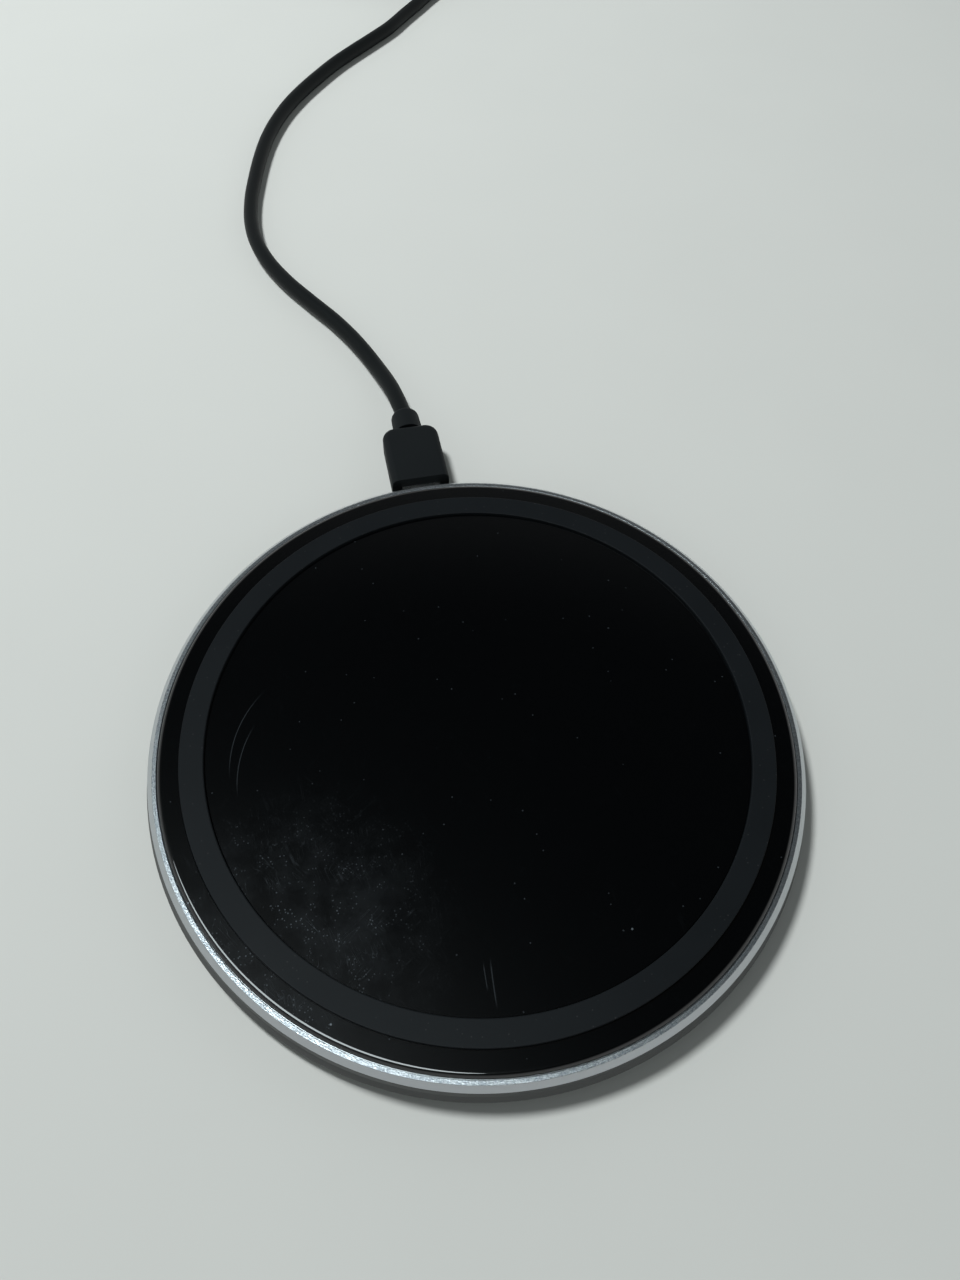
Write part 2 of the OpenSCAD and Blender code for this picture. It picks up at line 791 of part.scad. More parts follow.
// Half way through the coil the spiral reverses and climbs to its second layer
function eased(t) = let (s = max(0, min(1, t))) s * s * (3 - 2 * s);
function coil_at(turn) = let (
    a = coil_first + 360 * turn,
    m = turn - coil_all / 2,
    r = coil_in + coil_pitch * sqrt(m * m + coil_soft * coil_soft))
    [coil_centre[0] + r * cos(a), coil_centre[1] + r * sin(a),
        coil_z + coil_pitch * eased(2 * m + 0.5)];
coil_enter = unit(coil_at(small_turn) - coil_at(0));
coil_leave = unit(coil_at(coil_all) - coil_at(coil_all - small_turn));
coil_points = concat([coil_at(0) - cord_d * coil_enter],
    [for (i = [0 : coil_steps]) coil_at(coil_all * i / coil_steps)],
    [coil_at(coil_all) + cord_d * coil_leave]);
coil_end = len(coil_points) - 1;

module cord_run() {
    points = concat([for (p = run_route) laid(cord_exit, p)], [coil_points[0]]);
    color("#1c1c1e") tube(points, directions(points, [0, 1, 0], coil_enter), cord_r, cord_sides);
}

module cord_coil() {
    color("#1c1c1e") tube(coil_points,
        directions(coil_points, coil_enter, coil_leave), cord_r, wound_sides);
}

module cord_tail() {
    points = concat([coil_points[coil_end]], [for (p = tail_route) laid(coil_centre, p)],
        [[cord_exit[0] + usb_place[0], cord_exit[1] + usb_place[1], usb_z]]);
    color("#1c1c1e") tube(points, directions(points, coil_leave, [-1, 0, 0]), cord_r, cord_sides);
}

// Strap round the coil's turns
module cord_tie() {
    first_turn = (tie_angle - coil_first) / 360;
    spans = [for (turn = [first_turn : coil_all])
        norm([coil_at(turn)[0], coil_at(turn)[1]] - coil_centre)];
    inner = sqrt(pow(min(spans), 2) - pow(tie_w / 2, 2)) - cord_r - tie_gap;
    outer = max(spans) + cord_r + tie_gap;
    rise = coil_z + coil_pitch + cord_r + tie_gap;
    color("#3c3c40") translate([coil_centre[0], coil_centre[1], 0]) rotate([0, 0, tie_angle])
        rotate([90, 0, 0]) linear_extrude(tie_w, center = true) difference() {
            translate([inner - tie_t, 0]) square([outer - inner + 2 * tie_t, rise + tie_t]);
            translate([inner, tie_t]) square([outer - inner, rise - tie_t]);
        }
}

// Supply plug, drawn along +Y from the cord's end

module at_usb() {
    translate([cord_exit[0] + usb_place[0], cord_exit[1] + usb_place[1], usb_z])
        rotate([0, 0, 90]) children();
}

module usb_relief() {
    color("#161617") at_usb() rotate([0, 0, 180]) translate([0, -usb_relief_l, 0])
        stub(usb_relief_r, cord_r + relief_round, usb_relief_l, relief_round);
}

module usb_section(grow) {
    rounded(usb_w + 2 * grow, usb_h + 2 * grow, usb_t + usb_inner_r + grow);
}

module usb_grip() {
    color("#161617") at_usb() difference() {
        translate([0, usb_shell_y, 0]) rotate([0, 0, 180])
            grip_body(usb_grip_w, usb_grip_h, usb_grip_l, usb_grip_r, usb_rear_r);
        along_y(usb_shell_y - usb_embed, usb_shell_y + past, 0) usb_section(0);
    }
}

module usb_shell() {
    color("lightgray") at_usb() difference() {
        along_y(usb_shell_y - usb_embed, usb_shell_y + usb_l, 0) difference() {
            usb_section(0);
            usb_section(-usb_t);
        }
        for (x = [-1, 1]) block(x * usb_window_x, usb_shell_y + usb_l - usb_window_y,
            usb_core_t - usb_h / 2 + usb_t, [usb_window, usb_window, usb_h]);
    }
}

module usb_core() {
    color("whitesmoke") at_usb() {
        along_y(usb_shell_y, usb_shell_y + usb_l - usb_core_inset, 0) intersection() {
            usb_section(-usb_t);
            translate([-usb_w, usb_t + usb_core_t - 1.5 * usb_h]) square([2 * usb_w, usb_h]);
        }
        along_y(usb_shell_y - usb_embed, usb_shell_y, 0) usb_section(-usb_t);
    }
}

module usb_contacts() {
    usb_contact_y = usb_shell_y + usb_l - usb_core_inset - usb_contact_inset - usb_contact_l / 2;
    color("gold") at_usb() for (k = [-1.5 : 1.5])
        block(k * usb_contact_pitch, usb_contact_y, usb_t + usb_core_t - usb_h / 2,
            [usb_contact_w, usb_contact_l, usb_contact_t]);
}

echo(cord_coil_gap = least_gap(coil_points, loop_rings / 2) - cord_d);
echo(winding_gap = least_gap(winding_points, loop_rings / 2) - wire_d);

bottom_cover();
foot_ring();
cover_screws();
frame_ring();
adhesive_ring();
top_plate();
grip_ring();
foam_pad();
coil_carrier();
ferrite_sheet();
coil_winding();
circuit_board();
controller_chip();
bridge_transistors();
resonant_capacitors();
filter_capacitors();
socket_shell();
socket_tongue();
socket_contacts();
plug_shell();
plug_core();
plug_contacts();
plug_grip();
plug_relief();
cord_run();
cord_coil();
cord_tie();
cord_tail();
usb_relief();
usb_grip();
usb_shell();
usb_core();
usb_contacts();
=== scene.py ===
"""Dressed model of a round wireless charging pad with its supply lead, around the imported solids."""
import logging
import math
from dataclasses import dataclass
from enum import Enum
from functools import reduce
from typing import Callable, Iterable, Mapping, Optional, Sequence, Union

import bmesh
import bpy
from mathutils import Matrix, Vector


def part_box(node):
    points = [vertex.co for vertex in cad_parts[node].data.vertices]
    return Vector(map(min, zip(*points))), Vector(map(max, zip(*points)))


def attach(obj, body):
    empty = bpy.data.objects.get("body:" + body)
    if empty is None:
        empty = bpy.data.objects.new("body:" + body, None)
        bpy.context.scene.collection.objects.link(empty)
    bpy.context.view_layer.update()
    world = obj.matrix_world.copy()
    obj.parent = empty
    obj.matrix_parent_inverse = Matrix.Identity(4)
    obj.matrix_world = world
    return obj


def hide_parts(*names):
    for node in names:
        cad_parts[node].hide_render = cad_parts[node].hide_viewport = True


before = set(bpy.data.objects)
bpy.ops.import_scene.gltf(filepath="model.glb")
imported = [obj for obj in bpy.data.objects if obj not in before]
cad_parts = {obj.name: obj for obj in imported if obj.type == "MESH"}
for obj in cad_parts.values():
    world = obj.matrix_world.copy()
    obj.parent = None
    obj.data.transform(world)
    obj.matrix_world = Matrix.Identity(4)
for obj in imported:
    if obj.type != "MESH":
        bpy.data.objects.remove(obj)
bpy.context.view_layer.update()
LOG = logging.getLogger("charging_pad")

PAD = "pad"
LEAD = "lead"

MM = 0.001
WELD = 1e-7
NEAR = 0.01 * MM
# How far a cutting shape reaches past what it cuts, in millimetres
PAST = 1.0
# Shares of a direction that count as along an axis and as across it
ALONG = 0.9
ACROSS = 0.1
# Faces round a large piece, a middling one and a small one, and across a rounded edge
ROUND_STEPS = 256
MIDDLING_STEPS = 128
SMALL_STEPS = 64
FINE_EDGE = 4
EDGE = 6
STUB_EDGE = 8
SOFT_EDGE = 10
SMOOTH_ANGLE = math.radians(32)
# How far from a round its flat is held, as a share of the radius, and how many times that has to be free
HOLD = 0.35
HOLD_ROOM = 2.5
# Level that noise of 0 to 1 swings about
NOISE_MIDDLE = 0.5

Piece = bpy.types.Object
Colour = tuple[float, float, float]
Place = tuple[float, float, float]
Corner = tuple[float, float, float]
Pair = tuple[float, float]
Outline = list[Pair]

# Where the cord leaves the plug in the port and where it enters the supply plug, in millimetres
CORD_EXIT: Place = (0.0, 68.5, 2.9)
CORD_END: Place = (29.0, 297.6, 4.0)


def screen(red: int, green: int, blue: int) -> Colour:
    """Gives a screen colour as the linear colour that renders as it.

    Args:
        red: level of red, 0 to 255.
        green: level of green.
        blue: level of blue.

    Returns:
        The linear colour.
    """
    def linear(level: int) -> float:
        """Takes one level to its linear value, along the standard curve of screens."""
        share = level / 255
        return share / 12.92 if share <= 0.04045 else ((share + 0.055) / 1.055) ** 2.4
    return linear(red), linear(green), linear(blue)


# Shader expressions

class Wire:
    """An output socket that takes part in Python sums as a number."""

    def __init__(self, shader: "Shader", socket: Optional[bpy.types.NodeSocket]) -> None:
        """Keeps the socket, which the end of a tree lacks, and the shader that it belongs to."""
        self.shader = shader
        self.socket = socket

    def __add__(self, other: "Feed") -> "Wire":
        """Adds a number or a wire."""
        return self.shader.math("ADD", self, other)

    __radd__ = __add__

    def __sub__(self, other: "Feed") -> "Wire":
        """Takes a number or a wire away."""
        return self.shader.math("SUBTRACT", self, other)

    def __rsub__(self, other: "Feed") -> "Wire":
        """Takes this wire away from a number."""
        return self.shader.math("SUBTRACT", other, self)

    def __mul__(self, other: "Feed") -> "Wire":
        """Multiplies by a number or a wire."""
        return self.shader.math("MULTIPLY", self, other)

    __rmul__ = __mul__

    def __pow__(self, power: "Feed") -> "Wire":
        """Raises to a power."""
        return self.shader.math("POWER", self, power)

    def __abs__(self) -> "Wire":
        """Drops the sign."""
        return self.shader.math("ABSOLUTE", self)

    def at_least(self, other: "Feed") -> "Wire":
        """Gives the greater of two values."""
        return self.shader.math("MAXIMUM", self, other)

    def reach(self, other: "Wire") -> "Wire":
        """Gives how far a place with these two coordinates lies from their origin."""
        return (self * self + other * other) ** 0.5

    def swing(self, width: float) -> "Wire":
        """Takes noise of 0 to 1 to a swing about 0 that is so wide."""
        return (self - NOISE_MIDDLE) * width

    def lifted(self) -> "Wire":
        """Takes a wave of -1 to 1 to one of 0 to 1."""
        return self * 0.5 + 0.5

    def sine(self) -> "Wire":
        """Gives the sine of an angle in radians."""
        return self.shader.math("SINE", self)

    def band(self, low: float, high: float) -> "Wire":
        """Rises softly from 0 at low to 1 at high, or falls where low is the greater."""
        return self.shader.node("ShaderNodeMapRange", {"interpolation_type": "SMOOTHSTEP"},
                                {"Value": self, "From Min": low, "From Max": high})


Feed = Union[Wire, float, Sequence[float], str]


def most(masks: Iterable[Wire]) -> Wire:
    """Gives the greatest of several masks."""
    return reduce(Wire.at_least, masks)


class Shader:
    """Node tree of one finish, or of the room's light."""

    def __init__(self, owner: Union[bpy.types.Material, bpy.types.World]) -> None:
        """Starts with the owner's tree emptied.

        Args:
            owner: material or world whose tree this is.
        """
        owner.use_nodes = True
        self.tree = owner.node_tree
        self.tree.nodes.clear()

    @staticmethod
    def find(sockets: Iterable[bpy.types.NodeSocket], key: Union[str, int]) -> bpy.types.NodeSocket:
        """Finds a socket by its place, its identifier or its name.

        Args:
            sockets: inputs or outputs of a node.
            key: place, identifier or name.

        Returns:
            The socket.
        """
        if isinstance(key, int):
            return sockets[key]
        return next((s for s in sockets if s.identifier == key), None) or sockets[key]

    def node(self, kind: str, settings: Optional[Mapping[str, object]] = None,
             inputs: Optional[Mapping[Union[str, int], Feed]] = None,
             output: Union[str, int, None] = 0) -> Wire:
        """Adds any node.

        Args:
            kind: node type.
            settings: its own values, set first.
            inputs: numbers, colours or wires by socket.
            output: the socket that the wire leaves by, or None on a node that ends the tree.

        Returns:
            The node's output.
        """
        made = self.tree.nodes.new(kind)
        for key, value in (settings or {}).items():
            setattr(made, key, value)
        for key, value in (inputs or {}).items():
            socket = self.find(made.inputs, key)
            if isinstance(value, Wire):
                self.tree.links.new(value.socket, socket)
            elif socket.type == "RGBA":
                socket.default_value = (*value[:3], 1.0)
            else:
                socket.default_value = value
        return Wire(self, None if output is None else self.find(made.outputs, output))

    def math(self, operation: str, *values: Feed) -> Wire:
        """Adds a Math node on numbers and wires."""
        return self.node("ShaderNodeMath", {"operation": operation}, dict(enumerate(values)))

    def dimmed(self, colour: Feed, light: Feed) -> Wire:
        """Scales a colour by a light of about 1."""
        return self.node("ShaderNodeVectorMath", {"operation": "SCALE"}, {0: colour, "Scale": light})

    def place(self) -> Wire:
        """Gives the place on the piece, in metres from the part's origin."""
        return self.node("ShaderNodeTexCoord", output="Object")

    def axis(self, vector: Wire, name: str) -> Wire:
        """Gives the X, Y or Z of a vector."""
        return self.node("ShaderNodeSeparateXYZ", inputs={0: vector}, output=name)

    def axes(self, vector: Wire) -> tuple[Wire, ...]:
        """Gives the X, Y and Z of a vector."""
        return tuple(self.axis(vector, name) for name in "XYZ")

    def stretched(self, vector: Wire, move: Place = (0, 0, 0), turn: Place = (0, 0, 0),
                  scale: Place = (1, 1, 1)) -> Wire:
        """Moves, turns and stretches a pattern that is laid over places."""
        return self.node("ShaderNodeMapping", {"vector_type": "TEXTURE"},
                         {"Vector": vector, "Location": move, "Rotation": turn, "Scale": scale})

    def noise(self, vector: Wire, size: float, detail: float = 2.0, rough: float = 0.5) -> Wire:
        """Gives soft noise whose lumps are about so many metres across."""
        return self.node("ShaderNodeTexNoise", None, {"Vector": vector, "Scale": 1 / size,
                                                      "Detail": detail, "Roughness": rough})

    def cells(self, vector: Wire, size: float, output: str = "Distance") -> Wire:
        """Gives a cell pattern whose cells are about so many metres across."""
        return self.node("ShaderNodeTexVoronoi", None, {"Vector": vector, "Scale": 1 / size}, output)

    def blend(self, share: Feed, first: Feed, second: Feed) -> Wire:
        """Mixes two colours."""
        return self.node("ShaderNodeMix", {"data_type": "RGBA"},
                         {"Factor_Float": share, "A_Color": first, "B_Color": second}, "Result_Color")

    def bump(self, height: Wire, depth: float, under: Optional[Wire] = None) -> Wire:
        """Turns a height of 0 to 1 into a normal.

        Args:
            height: pattern.
            depth: metres between its lowest and highest place.
            under: normal that it lies on.

        Returns:
            The normal.
        """
        inputs = {"Height": height, "Strength": 1.0, "Distance": depth}
        if under is not None:
            inputs["Normal"] = under
        return self.node("ShaderNodeBump", None, inputs)

    def finish(self, **inputs: Feed) -> None:
        """Ends a material's tree in one surface shader.

        Args:
            inputs: numbers, colours or wires by socket, named with underscores for spaces.
        """
        surface = self.node("ShaderNodeBsdfPrincipled", None,
                            {key.replace("_", " "): value for key, value in inputs.items()})
        self.node("ShaderNodeOutputMaterial", None, {"Surface": surface}, None)

    def shine(self, colour: Colour, strength: Feed) -> None:
        """Ends a world's tree in a background of one colour."""
        light = self.node("ShaderNodeBackground", None, {"Color": colour, "Strength": strength})
        self.node("ShaderNodeOutputWorld", None, {"Surface": light}, None)


# Finishes

@dataclass(frozen=True)
class Pattern:
    """Noise or cells of a size in metres, with the levels between which they go from 0 to 1."""

    size: float
    low: float
    high: float
    detail: float = 2.0
    rough: float = 0.5

    def lumps(self, shader: Shader, place: Wire) -> Wire:
        """Gives a mask of soft noise."""
        return shader.noise(place, self.size, self.detail, self.rough).band(self.low, self.high)

    def spots(self, shader: Shader, place: Wire) -> Wire:
        """Gives a mask of cells."""
        return shader.cells(place, self.size).band(self.low, self.high)


@dataclass(frozen=True)
class Finish:
    """What a piece looks like. Patterns and depths of relief are in metres."""

    name: str

    def material(self) -> bpy.types.Material:
        """Builds the material.

        Returns:
            The material.
        """
        material = bpy.data.materials.new(self.name)
        shader = Shader(material)
        self.paint(shader, shader.place())
        return material

    def paint(self, shader: Shader, place: Wire) -> None:
        """Lays the nodes of this finish over the places on a piece.

        Args:
            shader: tree that takes the nodes.
            place: place on the piece.
        """
        raise NotImplementedError


@dataclass(frozen=True)
class Scratch:
    """Scratch along the -X side of a circle, between two places on Y. Sizes in millimetres."""

    middle: Pair
    radius: float
    low_y: float
    high_y: float
    width: float = 0.09
    core: float = 0.2
    fade: float = 0.3
    side: float = 0.5

    def mask(self, x: Wire, y: Wire) -> Wire:
        """Gives 1 on the scratch and 0 beside it, fading out at its ends.

        Args:
            x: X of the place on the plate.
            y: Y of the place on the plate.

        Returns:
            The mask.
        """
        across, up = x - self.middle[0] * MM, y - self.middle[1] * MM
        off = abs(across.reach(up) - self.radius * MM)
        fade = self.fade * (self.high_y - self.low_y)
        ends = (y.band(self.low_y * MM, (self.low_y + fade) * MM)
                * y.band(self.high_y * MM, (self.high_y - fade) * MM))
        return off.band(self.width * MM, self.core * self.width * MM) * ends * across.band(0, -self.side * MM)


@dataclass(frozen=True)
class GlossPlate(Finish):
    """Polished black plate with a scuffed patch, hairlines and a little dust. Its places are in millimetres.

    A share says how much of the pale colour a mark shows: dust and specks show their own colour, while the
    scratches, hairlines and the scuffed patch's grit and smear are real wear painted lighter as a painted
    highlight of the lamp on them.
    """

    name: str = "gloss_plate"
    tone: Colour = screen(0, 1, 2)
    # Colour of the dust, and also of the painted highlight on the scratches, hairlines and scuffed patch
    dust: Colour = screen(122, 134, 142)
    gloss: float = 0.03
    haze: float = 0.28
    gleam: float = 0.085
    coat_index: float = 1.7
    worn: Pair = (-30.0, -25.0)
    worn_r: float = 24.0
    worn_core: float = 0.2
    worn_haze: float = 0.07
    top_z: float = 5.9
    groove_r: float = 45.0
    groove_soft: float = 0.3
    groove_starts: float = 0.01
    groove_full: float = 0.03
    line_depth: float = 0.6e-6
    dust_share: float = 0.7
    speck_share: float = 0.13
    scratch_highlight_share: float = 0.11
    hairline_highlight_share: float = 0.004
    worn_hairline_highlight_share: float = 0.08
    worn_grit_highlight_share: float = 0.28
    worn_smear_highlight_share: float = 0.03
    hair_lay: Place = (14, 1, 1)
    hair_size: float = 0.0006
    hair_low: float = 0.012
    hair_high: float = 0.002
    hair_patch: Pattern = Pattern(0.0035, 0.52, 0.66)
    smear: Pattern = Pattern(0.006, 0.35, 0.7, 4.0, 0.6)
    grit: Pattern = Pattern(0.00052, 0.27, 0.1)
    grit_patch: Pattern = Pattern(0.003, 0.42, 0.66)
    specks: Pattern = Pattern(0.0024, 0.06, 0.03)
    dust_spots: Pattern = Pattern(0.0042, 0.045, 0.025)
    dust_patch: Pattern = Pattern(0.006, 0.6, 0.68, 0.0)
    hairlines: tuple[Pair, ...] = ((-52, 0.11), (-72, 0.23), (-88, 0.37), (35, 0.51))
    scratches: tuple[Scratch, ...] = (
        Scratch((-18.7, -3.3), 17.6, -4.2, 7.5), Scratch((-19.7, -0.9), 17.5, -1.0, 13.0),
        Scratch((93.7, -43.2), 100.0, -39.4, -32.6, 0.12), Scratch((93.0, -40.0), 100.0, -37.0, -33.0))

    def hairline(self, shader: Shader, place: Wire, turn: float, shift: float) -> Wire:
        """Gives thin straight scratches in one direction, in patches.

        Args:
            shader: tree that takes the nodes.
            place: place on the plate.
            turn: direction, in degrees.
            shift: metres that set this family apart from the others.

        Returns:
            A mask of the scratches.
        """
        laid = shader.stretched(place, (shift, shift, 0), (0, 0, math.radians(turn)), self.hair_lay)
        off = abs(shader.noise(laid, self.hair_size, detail=0.0) - NOISE_MIDDLE)
        line = off.band(self.hair_low, self.hair_high)
        return line * self.hair_patch.lumps(shader, shader.stretched(place, (shift, -shift, 0)))

    def paint(self, shader: Shader, place: Wire) -> None:
        """Lays wear and dust under a clear coat, which stays out of the grip ring's groove. The scratches,
        hairlines and the scuffed patch's grit and smear are painted lighter, a painted highlight of the lamp
        on real wear.

        Args:
            shader: tree that takes the nodes.
            place: place on the piece.
        """
        x, y, z = shader.axes(place)
        groove = (z.band((self.top_z - self.groove_starts) * MM, (self.top_z - self.groove_full) * MM)
                  * x.reach(y).band((self.groove_r + self.groove_soft) * MM, self.groove_r * MM))
        lines = most(self.hairline(shader, place, turn, shift) for turn, shift in self.hairlines)
        marks = most(scratch.mask(x, y) for scratch in self.scratches)
        from_worn = (x - self.worn[0] * MM).reach(y - self.worn[1] * MM)
        scuffed = from_worn.band(self.worn_r * MM, self.worn_core * self.worn_r * MM)
        smear = self.smear.lumps(shader, place)
        grit = self.grit.spots(shader, place) * self.grit_patch.lumps(shader, place)
        specks = self.specks.spots(shader, place)
        dust = self.dust_spots.spots(shader, place) * self.dust_patch.lumps(shader, place)
        # Pale marks: dust and specks in their own colour; scratches, hairlines and the scuffed patch's grit
        # and smear painted lighter as a painted highlight of the lamp on the wear
        pale = (dust * self.dust_share + specks * self.speck_share + marks * self.scratch_highlight_share
                + lines * (self.hairline_highlight_share + scuffed * self.worn_hairline_highlight_share)
                + grit * scuffed * self.worn_grit_highlight_share + smear * scuffed * self.worn_smear_highlight_share)
        shader.finish(Base_Color=shader.blend(pale, self.tone, self.dust),
                      Roughness=self.haze + scuffed * smear * self.worn_haze,
                      Normal=shader.bump(lines.at_least(marks), self.line_depth),
                      Specular_IOR_Level=self.gleam, Coat_Weight=1 - groove,
                      Coat_Roughness=self.gloss, Coat_IOR=self.coat_index)


@dataclass(frozen=True)
class Moulded(Finish):
    """Moulded plastic or rubber with a fine grain."""

    tone: Colour
    rough: float = 0.55
    grain: float = 0.00025
    depth: float = 4e-6
    wander: float = 0.12
    fleck: float = 0.0
    gleam: float = 0.5
    fleck_tone: Colour = screen(150, 152, 152)
    fleck_grains: float = 5
    fleck_low: float = 0.12
    fleck_high: float = 0.05
    cloud: float = 0.009
    cloud_rough: float = 0.12
    grain_rough: float = 0.08

    def paint(self, shader: Shader, place: Wire) -> None:
        """Lays the grain, a faint cloudiness and any flecks.

        Args:
            shader: tree that takes the nodes.
            place: place on the piece.
        """
        fine = shader.noise(place, self.grain, detail=3.0, rough=0.6)
        broad = shader.noise(place, self.cloud)
        colour = shader.dimmed(self.tone, 1 + broad.swing(2 * self.wander) + fine.swing(self.wander))
        if self.fleck:
            specks = Pattern(self.grain * self.fleck_grains, self.fleck_low, self.fleck_high)
            share = specks.spots(shader, place) * self.fleck
            colour = shader.blend(share, colour, self.fleck_tone)
        rough = self.rough + broad.swing(self.cloud_rough) + fine.swing(self.grain_rough)
        shader.finish(Base_Color=colour, Roughness=rough, Normal=shader.bump(fine, self.depth),
                      Specular_IOR_Level=self.gleam)


@dataclass(frozen=True)
class RingMetal(Finish):
    """Aluminium with a blasted flat rim, whose height is in millimetres, and a turned satin slope."""

    name: str = "ring_metal"
    tone: Colour = screen(196, 200, 203)
    shade: Colour = screen(96, 106, 116)
    rim_z: float = 5.4
    rough: float = 0.27
    bead: float = 0.00019
    glint: float = 0.00021
    tool_mark: float = 0.00004
    tool_share: float = 0.4
    cloud: float = 0.006
    depth: float = 20e-6
    rim_starts: float = 0.05
    rim_full: float = 0.02
    cloud_shade: float = 0.2
    cloud_rough: float = 0.03
    # How much darker the painted sparkle makes the rim's cells
    glint_shade: float = 0.6
    glint_rough: float = 0.1

    def paint(self, shader: Shader, place: Wire) -> None:
        """Lays blasted pits on the rim and turning marks on the slope, and paints the rim's cells darker at
        random as painted sparkle.

        Args:
            shader: tree that takes the nodes.
            place: place on the piece.
        """
        x, y, z = shader.axes(place)
        rim = z.band((self.rim_z - self.rim_starts) * MM, (self.rim_z - self.rim_full) * MM)
        beads = shader.cells(place, self.bead)
        painted_sparkle = shader.axis(shader.cells(place, self.glint, "Color"), "X")
        lay = shader.node("ShaderNodeCombineXYZ", None, {"X": x.reach(y), "Y": z, "Z": 0.0})
        turned = shader.noise(lay, self.tool_mark)
        cloud = shader.noise(place, self.cloud)
        # Painted sparkle: the rim's cells are painted darker at random, standing in for the glints and dull
        # grains that light makes on blasted metal; the cloud is a faint random mottle
        shaded = (cloud * self.cloud_shade + painted_sparkle * self.glint_shade) * rim
        shader.finish(Base_Color=shader.blend(shaded, self.tone, self.shade), Metallic=1.0,
                      Roughness=self.rough + rim * painted_sparkle * self.glint_rough + cloud * self.cloud_rough,
                      Normal=shader.bump(beads * rim + turned * (1 - rim) * self.tool_share, self.depth))


@dataclass(frozen=True)
class Plated(Finish):
    """Plated metal with fine drawing lines along one axis."""

    tone: Colour
    rough: float = 0.28
    along: Place = (20.0, 1.0, 1.0)
    draw: float = 0.00012
    draw_rough: float = 0.14
    spot: float = 0.0015
    spot_low: float = 0.4
    spot_high: float = 0.8
    spot_share: float = 0.12
    spot_rough: float = 0.08
    dulled: float = 0.6
    depth: float = 2e-6

    def paint(self, shader: Shader, place: Wire) -> None:
        """Lays drawing lines and faint stains.

        Args:
            shader: tree that takes the nodes.
            place: place on the piece.
        """
        drawn = shader.noise(shader.stretched(place, scale=self.along), self.draw)
        stain = shader.noise(place, self.spot, detail=3.0)
        dull = tuple(self.dulled * level for level in self.tone)
        share = stain.band(self.spot_low, self.spot_high) * self.spot_share
        shader.finish(Base_Color=shader.blend(share, self.tone, dull), Metallic=1.0,
                      Roughness=self.rough + stain.swing(self.spot_rough) + drawn.swing(self.draw_rough),
                      Normal=shader.bump(drawn, self.depth))


@dataclass(frozen=True)
class BoardMask(Finish):
    """Green solder mask with copper tracks that show through."""

    name: str = "board_mask"
    tone: Colour = screen(16, 92, 50)
    track: Colour = screen(36, 122, 66)
    tracks_a_metre: float = 700.0
    track_gap: float = 0.08
    track_offset: float = 0.5
    rough: float = 0.3
    weave: float = 0.0004
    weave_rough: float = 0.15
    depth: float = 12e-6

    def paint(self, shader: Shader, place: Wire) -> None:
        """Lays the tracks and the board's weave.

        Args:
            shader: tree that takes the nodes.
            place: place on the piece.
        """
        laid = {"Vector": place, "Scale": self.tracks_a_metre, "Mortar Size": self.track_gap}
        tracks = shader.node("ShaderNodeTexBrick", {"offset": self.track_offset}, laid, "Fac")
        weave = shader.noise(place, self.weave)
        shader.finish(Base_Color=shader.blend(tracks, self.track, self.tone),
                      Roughness=self.rough + weave * self.weave_rough,
                      Normal=shader.bump(tracks, self.depth))


@dataclass(frozen=True)
class OpenFoam(Finish):
    """Soft foam with open cells."""

    name: str = "open_foam"
    tone: Colour = screen(84, 84, 88)
    # Painted shade colour for the cells' pits
    painted_gap_shade: Colour = screen(30, 30, 32)
    cell: float = 0.0004
    cell_low: float = 0.1
    cell_high: float = 0.7
    rough: float = 0.9
    depth: float = 80e-6

    def paint(self, shader: Shader, place: Wire) -> None:
        """Lays the cells, with painted shade in their pits.

        Args:
            shader: tree that takes the nodes.
            place: place on the piece.
        """
        cells = shader.cells(place, self.cell)
        # Painted shade: the pits at the cells' middles are painted dark
        wall = cells.band(self.cell_low, self.cell_high)
        shader.finish(Base_Color=shader.blend(wall, self.painted_gap_shade, self.tone), Roughness=self.rough,
                      Normal=shader.bump(cells, self.depth))


@dataclass(frozen=True)
class StrandedWire(Finish):
    """Varnished copper strands that run round the coil with a twist."""

    name: str = "stranded_wire"
    tone: Colour = screen(198, 116, 62)
    # Painted shade colour for the troughs between the strands
    painted_gap_shade: Colour = screen(96, 44, 20)
    lay: float = 2600.0
    twist: float = 1.6
    strand_share: float = 0.8
    spot: float = 0.003
    spot_share: float = 0.2
    rough: float = 0.28
    spot_rough: float = 0.15
    metal: float = 0.85
    varnish: float = 0.4
    depth: float = 60e-6

    def paint(self, shader: Shader, place: Wire) -> None:
        """Lays the strands, with painted shade in the troughs between them.

        Args:
            shader: tree that takes the nodes.
            place: place on the piece.
        """
        x, y, z = shader.axes(place)
        reach = x.reach(y)
        round_way = shader.math("ARCTAN2", y, x) * reach
        phase = (round_way + reach * self.twist + z * self.twist) * self.lay
        strand = phase.sine().lifted()
        stain = shader.noise(place, self.spot)
        # Painted shade: the troughs between the strands are painted dark; the stain is the wire's own
        share = strand * self.strand_share + stain * self.spot_share
        shader.finish(Base_Color=shader.blend(share, self.painted_gap_shade, self.tone), Metallic=self.metal,
                      Roughness=self.rough + stain * self.spot_rough,
                      Normal=shader.bump(strand, self.depth), Coat_Weight=self.varnish)


